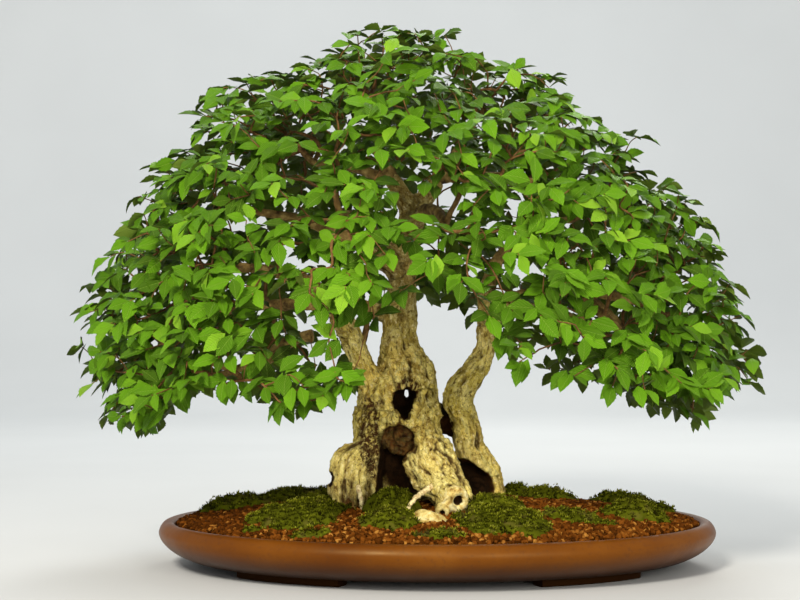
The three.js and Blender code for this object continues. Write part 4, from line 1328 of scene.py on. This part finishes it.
SOIL_EDGE_HEIGHT = 43.0
MOUND_RISE = 22.0
SOIL_HALF_LENGTH = 262.0
SOIL_RIM = 259.0
SOIL_SIDES = 150
SOIL_RINGS = 44
SOIL_BUMPS = 1.3
# The granules lie in rows
GRAIN_SPACING = 3.75
GRAIN_SIZE = 2.15
ROW_SHARE = 0.866
# No granule lies under the trunk: the middle and half axes of its foot
TRUNK_FOOT = ((-25, 5), (62, 38))

# Cushions of moss: (x, y, half length, half depth, height, turn in degrees), the first eight as in the
# part's source and a little fuller
MOSS = [
    (-134, -84, 46, 48, 15, -20), (-205, 42, 38, 30, 15, 10), (-46, -122, 28, 30, 13, 0),
    (60, -120, 46, 50, 13, 0), (116, 58, 28, 28, 13, 0), (192, -46, 32, 30, 15, 5),
    (196, 72, 38, 28, 15, -14), (-76, 118, 70, 36, 15, 6),
]
SMALL_MOSS = [
    (-44, -82, 27, 25, 24, 0), (-112, -40, 36, 26, 16, -20), (52, -76, 32, 26, 17, 10),
    (-120, -150, 20, 10, 6, 8), (-2, -166, 26, 10, 6, 0), (-150, 66, 46, 28, 14, 10),
    (126, -90, 32, 18, 10, -22), (226, 38, 20, 16, 9, -30), (22, 128, 44, 24, 13, 0),
    (84, 86, 22, 18, 14, 0), (-176, -118, 10, 8, 5, 0), (160, -102, 11, 8, 5, 0),
]
MOSS_SIDES = 48
MOSS_RINGS = 14
MOSS_SINK = 2.2
TUFT_SINK = 1.6
TUFT_SPACING = 2.9
TUFT_BLADES = 4


def soil_height(x, y):
    out = np.minimum(1, np.hypot(x / SOIL_HALF_LENGTH, y / (SOIL_HALF_LENGTH - OVAL_DIFFERENCE)))
    return SOIL_EDGE_HEIGHT + MOUND_RISE * (1 - out * out) ** 0.8


def flat_noise(x, y, scale, octaves, offset=0.0):
    return noise_at(np.column_stack([x, y, np.zeros(len(x))]), scale, octaves, offset)


def ragged(cushion, angle):
    """How far a cushion's edge lies outside or inside its ellipse."""
    cx, cy = cushion[:2]
    return 1 + 0.09 * np.sin(3 * angle + cx) + 0.07 * np.sin(5 * angle + cy) + 0.05 * np.sin(11 * angle)


def moss_share(cushion, x, y):
    """0 at a cushion's middle and 1 at its ragged edge."""
    cx, cy, half_x, half_y, _, turn = cushion
    c, s = math.cos(math.radians(turn)), math.sin(math.radians(turn))
    u = ((x - cx) * c + (y - cy) * s) / half_x
    v = (-(x - cx) * s + (y - cy) * c) / half_y
    return np.hypot(u, v) / ragged(cushion, np.arctan2(v, u))


def moss_rise(cushion, share):
    return cushion[4] * np.clip(1 - share**2.2, 0, 1) ** 0.62


def moss_lumps(cushion, x, y):
    """Coarse lumps, and how far lumps of both sizes lift a cushion."""
    cx, cy, _, _, height, _ = cushion
    coarse = flat_noise(x, y, 9, 3, cx)
    return coarse, (coarse * 4.2 + flat_noise(x, y, 3, 2, cy) * 1.2) * min(1, height / 10)


def add_soil():
    """A dark bed with a rough top under the granules."""
    above = 60
    reach = np.linspace(4, SOIL_RIM, SOIL_RINGS)[::-1]
    profile = [(0, 14.4), (235, 14.4), (253, 24.3), *[(r, above) for r in reach], (0, above)]
    points, quads, triangles = lathe(profile, SOIL_SIDES)
    top = points[:, 2] == above
    x, y = points[top, :2].T
    points[top, 2] = soil_height(x, y) + SOIL_BUMPS * flat_noise(x, y, 9, 3) - 0.9
    bed = add_object("soil_bed", (points, quads, triangles), GRANULE)
    # Nearly black: painted shade in the gaps between the granules
    set_attribute(bed, "tone", np.full(len(points), 0.03))
    finish_piece(bed, "soil_granules", "soil")


def ball():
    """An icosahedron."""
    g = (1 + 5**0.5) / 2
    points = unit([(-1, g, 0), (1, g, 0), (-1, -g, 0), (1, -g, 0), (0, -1, g), (0, 1, g), (0, -1, -g),
                   (0, 1, -g), (g, 0, -1), (g, 0, 1), (-g, 0, -1), (-g, 0, 1)])
    triangles = [(0, 11, 5), (0, 5, 1), (0, 1, 7), (0, 7, 10), (0, 10, 11), (1, 5, 9), (5, 11, 4),
                 (11, 10, 2), (10, 7, 6), (7, 1, 8), (3, 9, 4), (3, 4, 2), (3, 2, 6), (3, 6, 8), (3, 8, 9),
                 (4, 9, 5), (2, 4, 11), (6, 2, 10), (8, 6, 7), (9, 8, 1)]
    return points, np.array(triangles)


def coarse_ball():
    """An octahedron that lies on a face."""
    turn = circle(6)
    level = np.where(np.arange(6) % 2 == 0, 0.66, -0.66)
    triangles = [(0, 2, 4), (5, 3, 1)]
    for k in range(6):
        after, next_but_one = (k + 1) % 6, (k + 2) % 6
        triangles.append((k, after, next_but_one) if k % 2 == 0 else (k, next_but_one, after))
    return np.column_stack([0.94 * np.cos(turn), 0.94 * np.sin(turn), level]), np.array(triangles)


def granule_grid():
    """Places in staggered rows, shaken, and free of the moss and the trunk."""
    rows = np.arange(-SOIL_RIM, SOIL_RIM, GRAIN_SPACING * ROW_SHARE)
    columns = np.arange(-SOIL_RIM, SOIL_RIM, GRAIN_SPACING)
    grid = np.array([(x + (k % 2) * GRAIN_SPACING / 2, y) for k, y in enumerate(rows) for x in columns])
    grid += rng.uniform(-0.32, 0.32, grid.shape) * GRAIN_SPACING
    x, y = grid.T
    rim = SOIL_RIM - 1
    keep = np.hypot(x / rim, y / (rim - OVAL_DIFFERENCE)) < 1
    for cushion in [*MOSS, *SMALL_MOSS]:
        keep &= moss_share(cushion, x, y) > 0.93
    middle, half = TRUNK_FOOT
    keep &= np.hypot((x - middle[0]) / half[0], (y - middle[1]) / half[1]) > 1
    return grid[keep]


def add_granules():
    """Single granules, coarser ones at the back, darker at the left end with painted shade."""
    x, y = granule_grid().T
    count = len(x)
    height = soil_height(x, y) + SOIL_BUMPS * flat_noise(x, y, 9, 3) + rng.uniform(-0.6, 0.7, count)
    places = np.column_stack([x, y, height])[:, None]
    sizes = GRAIN_SIZE * rng.uniform(0.75, 1.3, (count, 1, 1))
    shapes = np.clip(1 + 0.2 * rng.normal(size=(count, 12, 1)), 0.6, 1.35)
    stretch = rng.uniform(0.8, 1.2, (count, 1, 3))
    spin = rng.uniform(0, 2 * math.pi, count)
    # Painted shade: the granules darken towards the left end
    painted_left_shade = 1 - smoothstep(-215, -120, x)
    tone = np.clip(0.47 - 0.2 * painted_left_shade + 0.29 * rng.normal(size=count), 0, 1)
    for name, mine, shape in (("granules_front", y <= 0, ball()), ("granules_back", y > 0, coarse_ball())):
        corners, number = len(shape[0]), int(mine.sum())
        u, v, w = np.moveaxis(shape[0] * shapes[mine, :corners] * stretch[mine] * sizes[mine], -1, 0)
        c, s = np.cos(spin[mine])[:, None], np.sin(spin[mine])[:, None]
        points = np.stack([u * c - v * s, u * s + v * c, w], -1) + places[mine]
        triangles = shape[1] + corners * np.arange(number)[:, None, None]
        piece = add_object(name, (points.reshape(-1, 3), triangles.reshape(-1, 3)), GRANULE, smooth=False)
        set_attribute(piece, "tone", np.repeat(tone[mine], corners))
        finish_piece(piece, "soil_granules")


def moss_cushion(cushion):
    cx, cy, half_x, half_y, height, turn = cushion
    angle = circle(MOSS_SIDES)
    share = np.linspace(1.02, 0.04, MOSS_RINGS)[:, None]
    reach = share * ragged(cushion, angle)
    u, v = reach * half_x * np.cos(angle), reach * half_y * np.sin(angle)
    c, s = math.cos(math.radians(turn)), math.sin(math.radians(turn))
    x, y = cx + u * c - v * s, cy + u * s + v * c
    z = soil_height(x, y) + moss_rise(cushion, share) - MOSS_SINK
    z[1:] += moss_lumps(cushion, x.ravel(), y.ravel())[1].reshape(x.shape)[1:]
    soil = soil_height(cx, cy)
    return skin(np.stack([x, y, z], -1), (cx, cy, soil - 4), (cx, cy, soil + height - MOSS_SINK))


def moss_tufts(cushion):
    """Small pointed shoots all over a cushion: points, triangles and a tone for each point."""
    cx, cy, half_x, half_y = cushion[:4]
    reach = max(half_x, half_y) * 1.2
    count = int(4 * reach * reach / TUFT_SPACING**2)
    x, y = cx + rng.uniform(-reach, reach, count), cy + rng.uniform(-reach, reach, count)
    share = moss_share(cushion, x, y)
    keep = share < 1.05
    x, y, share = x[keep], y[keep], share[keep]
    patch = np.repeat(flat_noise(x, y, 14, 3, cx), TUFT_BLADES)
    lump, lift = moss_lumps(cushion, x, y)
    root = np.column_stack([x, y, soil_height(x, y) + moss_rise(cushion, share) - TUFT_SINK + lift])
    count = len(root) * TUFT_BLADES
    root = np.repeat(root, TUFT_BLADES, axis=0) + rng.normal(size=(count, 3)) * [0.9, 0.9, 0.3]
    lean = unit(np.column_stack([rng.normal(size=(count, 2)) * 0.42, np.ones(count)]))
    tall = rng.uniform(2.2, 4.4, count) * (0.75 + 0.35 * patch)
    turn = rng.uniform(0, 2 * math.pi, count)[:, None] + circle(3)
    width = rng.uniform(0.5, 0.85, count)[:, None, None]
    feet = root[:, None] + np.stack([np.cos(turn), np.sin(turn), 0 * turn], -1) * width
    points = np.concatenate([feet, (root + lean * tall[:, None])[:, None]], axis=1)
    triangles = np.array([[0, 2, 1], [0, 1, 3], [1, 2, 3], [2, 0, 3]]) + 4 * np.arange(count)[:, None, None]
    shaded = 0.09 * (1 - smoothstep(-80, 0, root[:, 0]))
    # Shoots on the lumps are lighter and those between them darker: painted light and shade
    tone = 0.4 + 0.3 * patch + 0.9 * np.repeat(lump, TUFT_BLADES) - shaded
    tone = np.clip(tone + 0.22 * rng.normal(size=count), 0, 1)
    # Each shoot's feet get a third of its tone: painted shade low among the shoots
    return points.reshape(-1, 3), triangles.reshape(-1, 3), np.outer(tone, [0.3, 0.3, 0.3, 1]).ravel()


def add_moss():
    for index, cushion in enumerate([*MOSS, *SMALL_MOSS]):
        body_points, quads, body_triangles = moss_cushion(cushion)
        tuft_points, tuft_triangles, tones = moss_tufts(cushion)
        points = np.vstack([body_points, tuft_points])
        triangles = np.vstack([body_triangles, tuft_triangles + len(body_points)])
        number = f"{index + 1:02d}"
        piece = add_object(f"moss_{number}", (points, quads, triangles), MOSS_LOOK)
        body_tone = np.clip(0.3 + 0.25 * noise_at(body_points, 6, 2), 0, 1)
        set_attribute(piece, "tone", np.concatenate([body_tone, tones]))
        finish_piece(piece, "moss", *([f"moss_cushion_{number}"] if index < len(MOSS) else []))


def dress_screens():
    for name in ("drain_screen_left", "drain_screen_right"):
        frame["nodes"][name].data.materials.clear()
        frame["nodes"][name].data.materials.append(SCREEN)


add_camera()
add_stage()
add_pot()
add_trunk()
add_rootlets()
add_soil()
add_granules()
add_moss()
sites = leaf_sites()
growth = Growth()
ends = growth.grown(sites)
add_twigs(growth, ends)
add_foliage(leaf_places(growth, ends, sites))
dress_screens()
